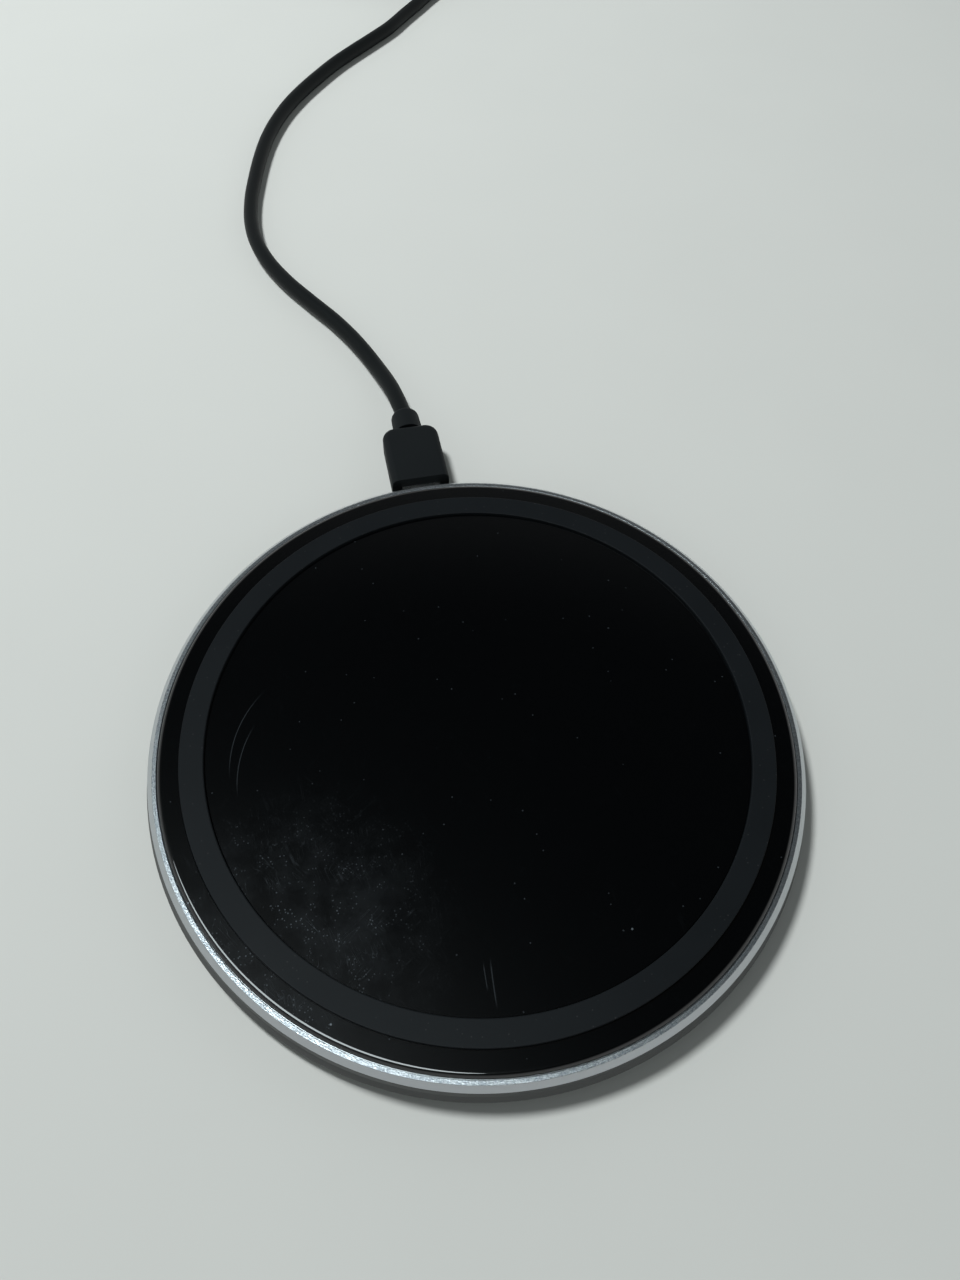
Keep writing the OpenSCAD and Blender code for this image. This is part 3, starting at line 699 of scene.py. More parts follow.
@dataclass(frozen=True)
class WovenStrap(Finish):
    """Dark woven strap of a hook and loop tie."""

    name: str = "woven_strap"
    tone: Colour = screen(52, 53, 56)
    # Painted shade colour between the threads
    painted_gap_shade: Colour = screen(16, 16, 18)
    thread: float = 0.0007
    thread_share: float = 0.7
    fuzz: float = 0.0003
    fuzz_share: float = 0.3
    rough: float = 0.9
    sheen: float = 0.2
    depth: float = 60e-6

    def paint(self, shader: Shader, place: Wire) -> None:
        """Lays the weave and its fuzz, with painted shade between the threads.

        Args:
            shader: tree that takes the nodes.
            place: place on the piece.
        """
        x, y, z = shader.axes(place)
        pitch = 2 * math.pi / self.thread
        weave = ((y * pitch).sine() * ((x + z) * pitch).sine()).lifted()
        fuzz = shader.noise(place, self.fuzz, detail=3.0)
        # Painted shade: the low places between the threads are painted dark
        share = weave * self.thread_share + fuzz * self.fuzz_share
        shader.finish(Base_Color=shader.blend(share, self.painted_gap_shade, self.tone), Roughness=self.rough,
                      Normal=shader.bump(weave, self.depth), Sheen_Weight=self.sheen)


@dataclass(frozen=True)
class PaleFloor(Finish):
    """Plain pale ground with a very faint unevenness."""

    name: str = "pale_floor"
    tone: Colour = screen(206, 211, 208)
    cloud: float = 0.03
    cloud_share: float = 0.03
    dimmest: float = 0.985
    rough: float = 0.9
    gleam: float = 0.1

    def paint(self, shader: Shader, place: Wire) -> None:
        """Lays the unevenness.

        Args:
            shader: tree that takes the nodes.
            place: place on the piece.
        """
        light = self.dimmest + shader.noise(place, self.cloud) * self.cloud_share
        shader.finish(Base_Color=shader.dimmed(self.tone, light), Roughness=self.rough,
                      Specular_IOR_Level=self.gleam)


PLUG_BLACK = Moulded("plug_black", screen(19, 23, 25), rough=0.6, grain=0.0003, depth=6e-6, gleam=0.13)


class Dresser:
    """Builds each finish once and puts it on pieces."""

    made: dict[str, bpy.types.Material] = {}

    @classmethod
    def dress(cls, piece: Piece, finish: Finish) -> None:
        """Gives a piece one finish all over.

        Args:
            piece: piece.
            finish: what it looks like.
        """
        if finish.name not in cls.made:
            cls.made[finish.name] = finish.material()
        piece.data.materials.clear()
        piece.data.materials.append(cls.made[finish.name])
        LOG.info("%s: dressed in %s", piece.name, finish.name)


# Bench work

class Turn(Enum):
    """Axis that a turned piece is spun about, as its radial and lengthwise directions."""

    UP = ((1, 0, 0), (0, 0, 1))
    REAR = ((1, 0, 0), (0, 1, 0))
    SIDE = ((0, 0, 1), (1, 0, 0))

    @property
    def way(self) -> Vector:
        """The axis itself."""
        return Vector(self.value[1])

    def place(self, radius: float, along: float, centre: Vector) -> Vector:
        """Gives the place of a profile point, in metres.

        Args:
            radius: millimetres from the axis.
            along: millimetres along it.
            centre: a point of the axis, in metres.

        Returns:
            The place.
        """
        return centre + (Vector(self.value[0]) * radius + self.way * along) * MM


class Joinery(Enum):
    """What a second shape does to a piece."""

    CUT = "DIFFERENCE"
    JOIN = "UNION"


def rounded(corners: Sequence[Corner], closed: bool, steps: int = EDGE) -> Outline:
    """Rounds the corners of an outline and holds the flats beside them.

    Args:
        corners: two coordinates and a radius each, in millimetres.
        closed: whether the last corner joins the first.
        steps: straight pieces in each round.

    Returns:
        The points of the outline.
    """
    points: Outline = []
    count = len(corners)
    places = [Vector(corner[:2]) for corner in corners]

    def arms_at(index: int) -> tuple[Vector, Vector]:
        """Gives the way from a corner to the one before it and to the one after it."""
        return places[index - 1] - places[index], places[(index + 1) % count] - places[index]

    def reach_at(index: int) -> float:
        """Gives how far a corner's round reaches along its sides.

        Args:
            index: place of the corner, which may run past the last.

        Returns:
            The reach, or 0 at a sharp corner.
        """
        radius = corners[index % count][2]
        if radius <= 0 or (not closed and index % count in (0, count - 1)):
            return 0.0
        before, after = arms_at(index % count)
        return radius / math.tan(before.angle(after) / 2)

    for index, here in enumerate(places):
        reach, radius = reach_at(index), corners[index][2]
        if reach == 0.0:
            points.append(tuple(here))
            continue
        before, after = arms_at(index)
        ways = before.normalized(), after.normalized()
        half = ways[0].angle(ways[1]) / 2
        middle = here + (ways[0] + ways[1]).normalized() * (radius / math.sin(half))
        first, last = here + ways[0] * reach, here + ways[1] * reach
        hold = HOLD * radius
        if before.length - reach - reach_at(index - 1) > HOLD_ROOM * hold:
            points.append(tuple(first + ways[0] * hold))
        arms = first - middle, last - middle
        sweep = arms[0].angle_signed(arms[1])
        for step in range(steps + 1):
            turned = arms[0].copy()
            turned.rotate(Matrix.Rotation(-sweep * step / steps, 2))
            points.append(tuple(middle + turned))
        if after.length - reach - reach_at(index + 1) > HOLD_ROOM * hold:
            points.append(tuple(last + ways[1] * hold))
    return points


class Bench:
    """Operators that shape one piece after another, as by hand."""

    @staticmethod
    def clear() -> None:
        """Deselects everything."""
        bpy.ops.object.select_all(action="DESELECT")

    @staticmethod
    def pick(piece: Piece) -> None:
        """Makes one piece the only selected and active one.

        Args:
            piece: piece.
        """
        Bench.clear()
        piece.select_set(True)
        bpy.context.view_layer.objects.active = piece

    @staticmethod
    def named(name: str) -> Piece:
        """Names the piece that was just added.

        Args:
            name: name of the piece and of its mesh.

        Returns:
            The piece.
        """
        piece = bpy.context.object
        piece.name = name
        piece.data.name = name
        return piece

    @staticmethod
    def smooth(piece: Piece, angle: float = SMOOTH_ANGLE) -> None:
        """Shades a piece smooth up to an angle."""
        Bench.pick(piece)
        bpy.ops.object.shade_smooth_by_angle(angle=angle)

    @staticmethod
    def choose_edges(piece: Piece, test: Callable[[Vector, Vector], bool]) -> None:
        """Selects edges in edit mode by their middle and direction.

        Args:
            piece: piece in edit mode.
            test: tells from an edge's middle and direction whether it is taken.
        """
        bpy.ops.mesh.select_mode(type="EDGE")
        bpy.ops.mesh.select_all(action="DESELECT")
        form = bmesh.from_edit_mesh(piece.data)
        for edge in form.edges:
            ends = [vertex.co for vertex in edge.verts]
            if test((ends[0] + ends[1]) / 2, (ends[1] - ends[0]).normalized()):
                edge.select = True
        form.select_flush_mode()
        bmesh.update_edit_mesh(piece.data)

    @staticmethod
    def lathe(name: str, outline: Outline, turn: Turn = Turn.UP, centre: Place = (0, 0, 0),
              closed: bool = True, steps: int = ROUND_STEPS) -> Piece:
        """Spins an outline into a turned piece.

        Args:
            name: name of the piece.
            outline: radius and place along the axis, in millimetres.
            turn: axis.
            centre: a point of the axis, in millimetres.
            closed: whether the outline's last point joins its first.
            steps: faces round the piece.

        Returns:
            The piece.
        """
        middle = Vector(centre) * MM
        places = [turn.place(radius, along, middle) for radius, along in outline]
        if closed:
            places.append(places[0])
        Bench.clear()
        bpy.ops.mesh.primitive_plane_add(size=MM)
        piece = Bench.named(name)
        bpy.ops.object.mode_set(mode="EDIT")
        bpy.ops.mesh.select_mode(type="VERT")
        bpy.ops.mesh.select_all(action="SELECT")
        bpy.ops.mesh.merge(type="CENTER")
        bpy.ops.transform.translate(value=places[0])
        for here, there in zip(places, places[1:]):
            bpy.ops.mesh.extrude_vertices_move(TRANSFORM_OT_translate={"value": there - here})
        bpy.ops.mesh.select_all(action="SELECT")
        bpy.ops.mesh.remove_doubles(threshold=WELD)
        bpy.ops.mesh.spin(steps=steps, angle=2 * math.pi, center=middle, axis=turn.way)
        bpy.ops.mesh.select_all(action="SELECT")
        bpy.ops.mesh.remove_doubles(threshold=WELD)
        bpy.ops.mesh.normals_make_consistent(inside=False)
        bpy.ops.object.mode_set(mode="OBJECT")
        Bench.smooth(piece)
        return piece

    @staticmethod
    def block(name: str, low: Place, high: Place) -> Piece:
        """Adds a block between two corners as the start of a piece.

        Args:
            name: name of the piece.
            low: lowest corner, in millimetres.
            high: highest corner.

        Returns:
            The piece.
        """
        size = (Vector(high) - Vector(low)) * MM
        Bench.clear()
        bpy.ops.mesh.primitive_cube_add(size=1)
        piece = Bench.named(name)
        bpy.ops.object.mode_set(mode="EDIT")
        bpy.ops.transform.resize(value=size)
        bpy.ops.transform.translate(value=(Vector(high) + Vector(low)) * (MM / 2))
        bpy.ops.object.mode_set(mode="OBJECT")
        return piece

    @staticmethod
    def round_edges(piece: Piece, radius: float, steps: int,
                    test: Callable[[Vector, Vector], bool]) -> None:
        """Bevels chosen edges round.

        Args:
            piece: piece.
            radius: radius in millimetres.
            steps: faces across the round.
            test: tells which edges, as in choose_edges.
        """
        Bench.pick(piece)
        bpy.ops.object.mode_set(mode="EDIT")
        Bench.choose_edges(piece, test)
        bpy.ops.mesh.bevel(offset=radius * MM, segments=steps, affect="EDGES", clamp_overlap=False)
        bpy.ops.object.mode_set(mode="OBJECT")

    @staticmethod
    def fit(piece: Piece, tool: Piece, how: Joinery) -> None:
        """Cuts a second shape out of a piece, or joins it on, and removes that shape.

        Args:
            piece: piece that stays.
            tool: the second shape.
            how: whether it is cut out or joined on.
        """
        modifier = piece.modifiers.new("fit", "BOOLEAN")
        modifier.operation = how.value
        modifier.solver = "MANIFOLD"
        modifier.object = tool
        Bench.pick(piece)
        bpy.ops.object.modifier_apply(modifier=modifier.name)
        bpy.data.objects.remove(tool)

    @staticmethod
    def posts(name: str, radius: float, low: float, high: float,
              places: Sequence[Pair]) -> Piece:
        """Models one post and copies it to each place.

        Args:
            name: name of the piece.
            radius: radius of a post, in millimetres.
            low: height of its lower end.
            high: height of its upper end.
            places: X and Y of each post.

        Returns:
            One object with all the posts.
        """
        first = Bench.lathe(name, [(0, low), (radius, low), (radius, high), (0, high)],
                            centre=(*places[0], 0), closed=False, steps=SMALL_STEPS)
        start = Vector(places[0])
        copies = []
        for place in places[1:]:
            copy = first.copy()
            copy.data = first.data.copy()
            bpy.context.scene.collection.objects.link(copy)
            copy.data.transform(Matrix.Translation(((Vector(place) - start) * MM).to_3d()))
            copies.append(copy)
        Bench.pick(first)
        for copy in copies:
            copy.select_set(True)
        if copies:
            bpy.ops.object.join()
        return first

    @staticmethod
    def grip_body(name: str, low: Vector, high: Vector, back: Vector, rear_r: float, edge_r: float,
                  front_r: float = 0.15) -> Piece:
        """Models a plug's grip: a block with round rear corners and round long edges.

        Args:
            name: name of the piece.
            low: lowest corner, in millimetres.
            high: highest corner.
            back: direction of its rear.
            rear_r: radius of the upright rear corners.
            edge_r: radius of the other edges.
            front_r: radius of the edges round its front.

        Returns:
            The piece.
        """
        piece = Bench.block(name, low, high)
        middle = (high + low) * (MM / 2)
        front = NEAR - abs((high - low).dot(back)) * MM / 2
        Bench.round_edges(piece, rear_r, SOFT_EDGE,
                          lambda at, way: abs(way.z) > ALONG and (at - middle).dot(back) > 0)
        Bench.round_edges(piece, edge_r, SOFT_EDGE,
                          lambda at, way: abs(way.z) < ACROSS and (at - middle).dot(back) > front)
        Bench.round_edges(piece, front_r, FINE_EDGE, lambda at, way: (at - middle).dot(back) < front)
        Bench.smooth(piece)
        return piece


def smooth_line(points: Sequence[Vector], steps: int) -> list[Vector]:
    """Puts a smooth line through points.

    Args:
        points: points that it passes through.
        steps: pieces between one point and the next.

    Returns:
        The points of the line.
    """
    padded = [2 * points[0] - points[1], *points, 2 * points[-1] - points[-2]]
    line = []
    for a, b, c, d in zip(padded, padded[1:], padded[2:], padded[3:]):
        for step in range(steps):
            t = step / steps
            line.append(0.5 * (2 * b + (c - a) * t + (2 * a - 5 * b + 4 * c - d) * t ** 2
                               + (3 * b - a - 3 * c + d) * t ** 3))
    return line + [points[-1].copy()]


def laid_tube(name: str, line: Sequence[Vector], radius: float, fineness: int) -> Piece:
    """Makes a round tube along a line.

    Args:
        name: name of the piece.
        line: its middle line, in millimetres.
        radius: its radius, in millimetres.
        fineness: smoothness of its section.

    Returns:
        A curve of one open spline.
    """
    curve = bpy.data.curves.new(name, "CURVE")
    curve.dimensions = "3D"
    curve.bevel_depth = radius * MM
    curve.bevel_resolution = fineness
    curve.use_fill_caps = True
    curve.twist_mode = "Z_UP"
    spline = curve.splines.new("POLY")
    spline.points.add(len(line) - 1)
    for point, place in zip(spline.points, line):
        point.co = (*(place * MM), 1.0)
    spline.use_smooth = True
    piece = bpy.data.objects.new(name, curve)
    bpy.context.scene.collection.objects.link(piece)
    return piece


def keep(piece: Piece, body: str, slot: str, *nodes: str) -> None:
    """Ties a finished piece to its body and hides the solids that it stands for.

    Args:
        piece: finished piece.
        body: body that it moves with.
        slot: the record's material slot; not used.
        nodes: solids that it replaces.
    """
    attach(piece, body)
    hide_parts(*nodes)
    LOG.info("%s: %d faces", piece.name, len(getattr(piece.data, "polygons", ())))


@dataclass
class PadShell:
    """Base cover, foot ring and metal ring. Sizes in millimetres."""

    pad_r: float = 50.0
    wall_r: float = 49.2
    room_r: float = 47.6
    base_z: float = 0.5
    floor_z: float = 1.5
    widest_z: float = 1.7
    skirt_r: float = 49.4
    skirt_z: float = 2.7
    base_top: float = 4.4
    foot_in: float = 39.5
    foot_out: float = 46.5
    foot_gap: float = 0.1
    groove_z: float = 0.9
    screw_ring_r: float = 43.0
    screw_angles: tuple[float, ...] = (30, 150, 210, 330)
    head_r: float = 1.9
    shank_r: float = 1.1
    clamp_z: float = 1.8
    boss_z: float = 2.4
    head_boss_r: float = 3.2
    boss_r: float = 2.4
    thread_r: float = 1.02
    thread_top: float = 4.6
    pin_x: float = 20.0
    pin_y: float = 32.5
    post_r: float = 1.6
    pin_r: float = 0.8
    pin_head_r: float = 1.4
    board_z: float = 2.0
    board_top: float = 2.8
    pin_head_top: float = 3.3
    port_half: float = 3.875
    port_low: float = 1.55
    port_corner: float = 0.3
    lip_half: float = 4.975
    lip_cut_y: float = 43.2
    lip_cut_rear: float = 49.9
    lip_cut_top: float = 4.45
    ledge_r: float = 40.2
    ledge_z: float = 4.05
    ledge_top: float = 4.85
    lip_r: float = 47.45
    lip_in: float = 46.6
    lip_z: float = 3.4
    ring_r: float = 49.15
    band_z: float = 4.6
    rim_r: float = 48.3
    rim_z: float = 5.4
    seat_r: float = 47.7
    edge_r: float = 1.05
    crisp_r: float = 0.08
    corner_r: float = 0.2
    skirt_round: float = 0.3
    wall_round: float = 0.12
    room_round: float = 0.1
    band_round: float = 0.1
    fine_r: float = 0.06
    foot_r: float = 0.15
    foot_top_r: float = 0.05
    sunk: float = 0.2

    def screw_places(self) -> list[Pair]:
        """Gives X and Y of each screw."""
        angles = [math.radians(angle) for angle in self.screw_angles]
        return [(self.screw_ring_r * math.cos(a), self.screw_ring_r * math.sin(a)) for a in angles]

    def base_cover(self) -> Piece:
        """Turns the base, adds its bosses and pins, and cuts its port and screw holes.

        Returns:
            The piece.
        """
        groove_in, groove_out = self.foot_in - self.foot_gap, self.foot_out + self.foot_gap
        outline = rounded([
            (0, self.base_z, 0), (groove_in, self.base_z, self.crisp_r), (groove_in, self.groove_z, 0),
            (groove_out, self.groove_z, 0), (groove_out, self.base_z, self.crisp_r),
            (self.pad_r, self.base_z, self.edge_r), (self.pad_r, self.widest_z, self.corner_r),
            (self.skirt_r, self.skirt_z, self.skirt_round), (self.wall_r, self.base_top, self.wall_round),
            (self.room_r, self.base_top, self.room_round), (self.room_r, self.floor_z, self.corner_r),
            (0, self.floor_z, 0)], closed=False)
        cover = Bench.lathe("base_cover", outline, closed=False)
        screws, pins = self.screw_places(), [(-self.pin_x, self.pin_y), (self.pin_x, self.pin_y)]
        root, pin_low, pin_high = (z - self.sunk for z in (self.floor_z, self.board_z, self.pin_head_top))
        for how, name, places, radius, low, high in (
                (Joinery.JOIN, "bosses", screws, self.head_boss_r, root, self.boss_z),
                (Joinery.JOIN, "posts", pins, self.post_r, root, self.board_z),
                (Joinery.JOIN, "pins", pins, self.pin_r, pin_low, pin_high),
                (Joinery.JOIN, "heads", pins, self.pin_head_r, self.board_top, self.pin_head_top),
                (Joinery.CUT, "heads", screws, self.head_r, self.base_z, self.clamp_z),
                (Joinery.CUT, "shanks", screws, self.shank_r, self.base_z, self.boss_z + self.sunk)):
            Bench.fit(cover, Bench.posts(name, radius, low, high, places), how)
        port = Bench.block("port", (-self.port_half, self.room_r - PAST, self.port_low),
                           (self.port_half, self.pad_r + PAST, self.base_top + PAST))
        Bench.round_edges(port, self.port_corner, FINE_EDGE,
                          lambda at, way: abs(way.y) > ALONG and at.z < self.base_top * MM)
        Bench.fit(cover, port, Joinery.CUT)
        Bench.smooth(cover)
        return cover

    def foot(self) -> Piece:
        """Turns the rubber ring that the pad stands on.

        Returns:
            The piece.
        """
        outline = rounded([
            (self.foot_in, 0, self.foot_r), (self.foot_out, 0, self.foot_r),
            (self.foot_out, self.groove_z, self.foot_top_r), (self.foot_in, self.groove_z, self.foot_top_r)],
            closed=True)
        return Bench.lathe("foot", outline)

    def metal_ring(self) -> Piece:
        """Turns the metal ring, adds its bosses and cuts its threads and the room for the port.

        Returns:
            The piece.
        """
        crisp, fine = self.crisp_r, self.fine_r
        outline = rounded([
            (self.ledge_r, self.ledge_z, crisp), (self.lip_in, self.ledge_z, 0),
            (self.lip_in, self.lip_z, crisp), (self.lip_r, self.lip_z, crisp),
            (self.lip_r, self.base_top, 0), (self.ring_r, self.base_top, fine),
            (self.ring_r, self.band_z, self.band_round), (self.rim_r, self.rim_z, crisp),
            (self.seat_r, self.rim_z, fine), (self.seat_r, self.ledge_top, 0),
            (self.ledge_r, self.ledge_top, crisp)], closed=True)
        ring = Bench.lathe("metal_ring", outline)
        screws, ledge_middle = self.screw_places(), (self.ledge_z + self.ledge_top) / 2
        Bench.fit(ring, Bench.posts("bosses", self.boss_r, self.boss_z, ledge_middle, screws), Joinery.JOIN)
        Bench.fit(ring, Bench.posts("threads", self.thread_r, self.boss_z - PAST, self.thread_top, screws),
                  Joinery.CUT)
        room = Bench.block("room", (-self.lip_half, self.lip_cut_y, self.lip_z - PAST),
                           (self.lip_half, self.lip_cut_rear, self.lip_cut_top))
        Bench.fit(ring, room, Joinery.CUT)
        Bench.smooth(ring)
        return ring

    def build(self) -> None:
        """Makes and dresses the shell."""
        cover, foot, ring = self.base_cover(), self.foot(), self.metal_ring()
        Dresser.dress(cover, Moulded("base_plastic", screen(66, 68, 68), rough=0.5, grain=0.0003, depth=5e-6))
        Dresser.dress(foot, Moulded("foot_rubber", screen(38, 38, 39), rough=0.75, grain=0.0005, depth=20e-6))
        Dresser.dress(ring, RingMetal(rim_z=self.rim_z))
        Dresser.dress(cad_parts["cover_screws"], Plated("zinc_screw", screen(196, 196, 190), rough=0.32))
        keep(cover, PAD, "base_plastic", "bottom_cover")
        keep(foot, PAD, "foot_rubber", "foot_ring")
        keep(ring, PAD, "ring_metal", "frame_ring")


@dataclass
class TopDeck:
    """Glossy plate with its raised grip ring. Sizes in millimetres."""

    plate_r: float = 47.6
    plate_z: float = 5.0
    plate_top: float = 5.9
    crown_r: float = 0.8
    crown_slope: float = 65.0
    grip_in: float = 40.75
    grip_out: float = 44.3
    grip_gap: float = 0.12
    grip_seat: float = 0.4
    grip_top: float = 6.45
    grip_bevel: float = 0.14
    crown_steps: int = 12
    edge: float = 0.05

    def plate(self) -> Piece:
        """Turns the plate with its rounded rim and the groove for the grip ring.

        Returns:
            The piece.
        """
        slope = math.radians(self.crown_slope)
        crown_x = self.plate_r - self.crown_r * math.sin(slope)
        angles = [slope * step / self.crown_steps for step in range(self.crown_steps + 1)]
        crown = [(crown_x + self.crown_r * math.sin(angle),
                  self.plate_top - self.crown_r * (1 - math.cos(angle))) for angle in angles]
        low = self.plate_top - self.grip_seat
        groove_in, groove_out = self.grip_in - self.grip_gap, self.grip_out + self.grip_gap
        groove = [(0, self.plate_top), (groove_in, self.plate_top), (groove_in, low), (groove_out, low),
                  (groove_out, self.plate_top), (crown_x - self.edge, self.plate_top)]
        edge = [(self.plate_r, self.plate_z + self.edge), (self.plate_r - self.edge, self.plate_z),
                (0, self.plate_z)]
        return Bench.lathe("gloss_plate", groove + crown + edge, closed=False)

    def grip(self) -> Piece:
        """Turns the raised ring.

        Returns:
            The piece.
        """
        low = self.plate_top - self.grip_seat
        outline = rounded([(self.grip_in, low, 0), (self.grip_out, low, 0),
                           (self.grip_out, self.grip_top, self.grip_bevel),
                           (self.grip_in, self.grip_top, self.grip_bevel)], closed=True)
        return Bench.lathe("grip_band", outline)

    def build(self) -> None:
        """Makes and dresses the deck."""
        plate, grip = self.plate(), self.grip()
        Dresser.dress(plate, GlossPlate(top_z=self.plate_top))
        Dresser.dress(grip, Moulded("grip_rubber", screen(16, 20, 23), rough=0.5, grain=0.00022, depth=7e-6,
                                    fleck=0.06, gleam=0.13))
        Dresser.dress(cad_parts["adhesive_ring"],
                      Moulded("adhesive_film", screen(222, 222, 216), rough=0.5, grain=0.0006, depth=6e-6))
        keep(plate, PAD, "gloss_top", "top_plate")
        keep(grip, PAD, "grip_rubber", "grip_ring")


@dataclass
class ChargingStack:
    """Foam pad, carrier, ferrite sheet and wound coil under the plate. Sizes in millimetres."""

    foam_r: float = 24.0
    foam_low: float = 1.5
    foam_high: float = 2.2
    foam_bulge: float = 0.25
    slot_half: float = 0.95
    slot_low: float = -1.9
    wire_d: float = 1.1
    wire_pitch: float = 1.6
    winding_r: float = 26.0
    winding_start: float = 135.0
    winding_all: float = 9.625
    wire_z: float = 4.35
    under_z: float = 2.82
    lead_z: float = 3.38
    carrier_r: float = 29.0
    board_y: float = 30.5
    land: float = 2.5
    start_step: float = 0.01
    outer_shares: tuple[float, ...] = (1.0, 0.85, 0.6, 0.3)
    outer_points: int = 4
    dive_y: tuple[float, ...] = (1.3, 2.5, 3.8)
    climb_from: float = 4.5
    climb_to: float = 1.0
    inner_points: int = 6
    turn_points: int = 72
    bend: float = 0.35
    fineness: int = 4

    @property
    def winding_in(self) -> float:
        """Radius at which the inner lead starts."""
        return self.winding_r - self.wire_pitch * self.winding_all

    def winding_at(self, turn: float) -> Vector:
        """Gives a place on the coil.

        Args:
            turn: turns from its outer end.

        Returns:
            The place, in millimetres.
        """
        angle = math.radians(self.winding_start + 360 * turn)
        reach = self.winding_r - self.wire_pitch * turn
        return Vector((reach * math.cos(angle), reach * math.sin(angle), self.wire_z))

    def route(self) -> list[Vector]:
        """Lays the wire from the board, round the coil and back to the board.

        Returns:
            Its middle line, in millimetres.
        """
        first = self.winding_at(0)
        way = (self.winding_at(self.start_step) - first).normalized()
        run = (self.board_y + self.land - first.y) / -way.y
        heights = (self.lead_z, self.lead_z, self.wire_z, self.wire_z)
        outer = [first - way * (run * share) + Vector((0, 0, height - self.wire_z))
                 for share, height in zip(self.outer_shares, heights)]
        steps = math.ceil(self.winding_all * self.turn_points)
        turns = [self.winding_at(self.winding_all * step / steps) for step in range(steps + 1)]
        dive = zip(self.dive_y, (self.wire_z - self.bend, self.under_z + self.bend, self.under_z))
        inner = [Vector((self.winding_in, y, z)) for y, z in (
            *dive, (self.carrier_r / 2, self.under_z), (self.board_y - self.climb_from, self.under_z),
            (self.board_y - self.climb_to, self.lead_z), (self.board_y + self.land, self.lead_z))]
        return smooth_line(outer, self.outer_points) + turns + smooth_line(inner, self.inner_points)

    def foam(self) -> Piece:
        """Turns the foam pad with a soft edge and cuts the slot for the wire.

        Returns:
            The piece.
        """
        outline = rounded([(0, self.foam_low, 0), (self.foam_r, self.foam_low, self.foam_bulge),
                           (self.foam_r, self.foam_high, self.foam_bulge), (0, self.foam_high, 0)],
                          closed=False)
        foam = Bench.lathe("foam_cushion", outline, closed=False, steps=MIDDLING_STEPS)
        slot = Bench.block("slot", (self.winding_in - self.slot_half, self.slot_low, self.foam_low - PAST),
                           (self.winding_in + self.slot_half, self.foam_r + PAST, self.foam_high + PAST))
        Bench.fit(foam, slot, Joinery.CUT)
        Bench.smooth(foam)
        return foam

    def build(self) -> None:
        """Makes and dresses the stack."""
        foam = self.foam()
        winding = laid_tube("wound_wire", self.route(), self.wire_d / 2, self.fineness)
        Dresser.dress(foam, OpenFoam())
        Dresser.dress(winding, StrandedWire())
        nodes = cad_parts
        Dresser.dress(nodes["coil_carrier"], Moulded("carrier_plastic", screen(224, 220, 208), rough=0.5))
        Dresser.dress(nodes["ferrite_sheet"], Moulded("ferrite", screen(56, 56, 58), rough=0.6, grain=0.00015,
                                                      depth=8e-6, wander=0.2, fleck=0.1))
        keep(foam, PAD, "foam", "foam_pad")
        keep(winding, PAD, "copper_wire", "coil_winding")


@dataclass
class Board:
    """Circuit board, what stands on it, and the port. All of it keeps the solids' shapes."""

    def build(self) -> None:
        """Dresses the board and the port."""
        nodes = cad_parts
        black = Moulded("connector_black", screen(30, 30, 31), rough=0.5)
        chip = Moulded("chip_black", screen(34, 34, 36), grain=0.0001, depth=3e-6)
        ceramic = Moulded("ceramic", screen(176, 150, 116), rough=0.45, grain=0.0002, depth=3e-6)
        shell = Plated("connector_metal", screen(206, 206, 204), rough=0.26)
        gold = Plated("contact_gold", screen(236, 198, 110), rough=0.22)
        for name, finish in (("circuit_board", BoardMask()), ("controller_chip", chip),
                             ("bridge_transistors", chip), ("resonant_capacitors", ceramic),
                             ("filter_capacitors", ceramic), ("socket_shell", shell),
                             ("socket_tongue", black), ("socket_contacts", gold),
                             ("plug_shell", shell), ("plug_core", black), ("plug_contacts", gold),
                             ("usb_shell", shell), ("usb_contacts", gold),
                             ("usb_core", Moulded("connector_white", screen(226, 226, 222), rough=0.45))):
            Dresser.dress(nodes[name], finish)


@dataclass
class Plug:
    """Grip and stub of one of the lead's plugs. Sizes in millimetres."""

    name: str
    grip_node: str
    stub_node: str
    rear: Turn
    cord_at: Place
    grip_l: float
    grip_w: float
    grip_h: float
    edge_r: float
    rear_r: float
    relief_l: float
    relief_r: float
    relief_end_r: float = 2.6
    relief_round: float = 1.0

    @property
    def root(self) -> Vector:
        """Middle of the grip's rear face, where the stub starts."""
        return Vector(self.cord_at) - self.rear.way * self.relief_l

    def grip(self) -> Piece:
        """Models the moulded grip.

        Returns:
            The piece.
        """
        back = self.rear.way
        half = Vector((back.y, back.x, 0)) * (self.grip_w / 2) + Vector((0, 0, self.grip_h / 2))
        return Bench.grip_body(f"{self.name}_grip", self.root - back * self.grip_l - half, self.root + half,
                               back, self.rear_r, self.edge_r)

    def stub(self) -> Piece:
        """Turns the short stub that holds the cord.

        Returns:
            The piece.
        """
        outline = rounded([(0, 0, 0), (self.relief_r, 0, 0),
                           (self.relief_end_r, self.relief_l, self.relief_round), (0, self.relief_l, 0)],
                          closed=False, steps=STUB_EDGE)
        return Bench.lathe(f"{self.name}_stub", outline, self.rear, self.root, closed=False,
                           steps=SMALL_STEPS)

    def build(self) -> list[Piece]:
        """Makes and dresses the plug.

        Returns:
            Its grip and its stub.
        """
        pieces = [self.grip(), self.stub()]
        for piece, node in zip(pieces, (self.grip_node, self.stub_node)):
            Dresser.dress(piece, PLUG_BLACK)
            keep(piece, LEAD, "plug_black", node)
        return pieces


PORT_PLUG = Plug("port", "plug_grip", "plug_relief", Turn.REAR, CORD_EXIT, grip_l=13.2, grip_w=10.4,
                 grip_h=5.6, edge_r=1.3, rear_r=2.4, relief_l=5.0, relief_r=2.8)
SUPPLY_PLUG = Plug("supply", "usb_grip", "usb_relief", Turn.SIDE, CORD_END, grip_l=19.0, grip_w=15.6,
                   grip_h=7.8, edge_r=2.0, rear_r=3.0, relief_l=6.0, relief_r=3.2)


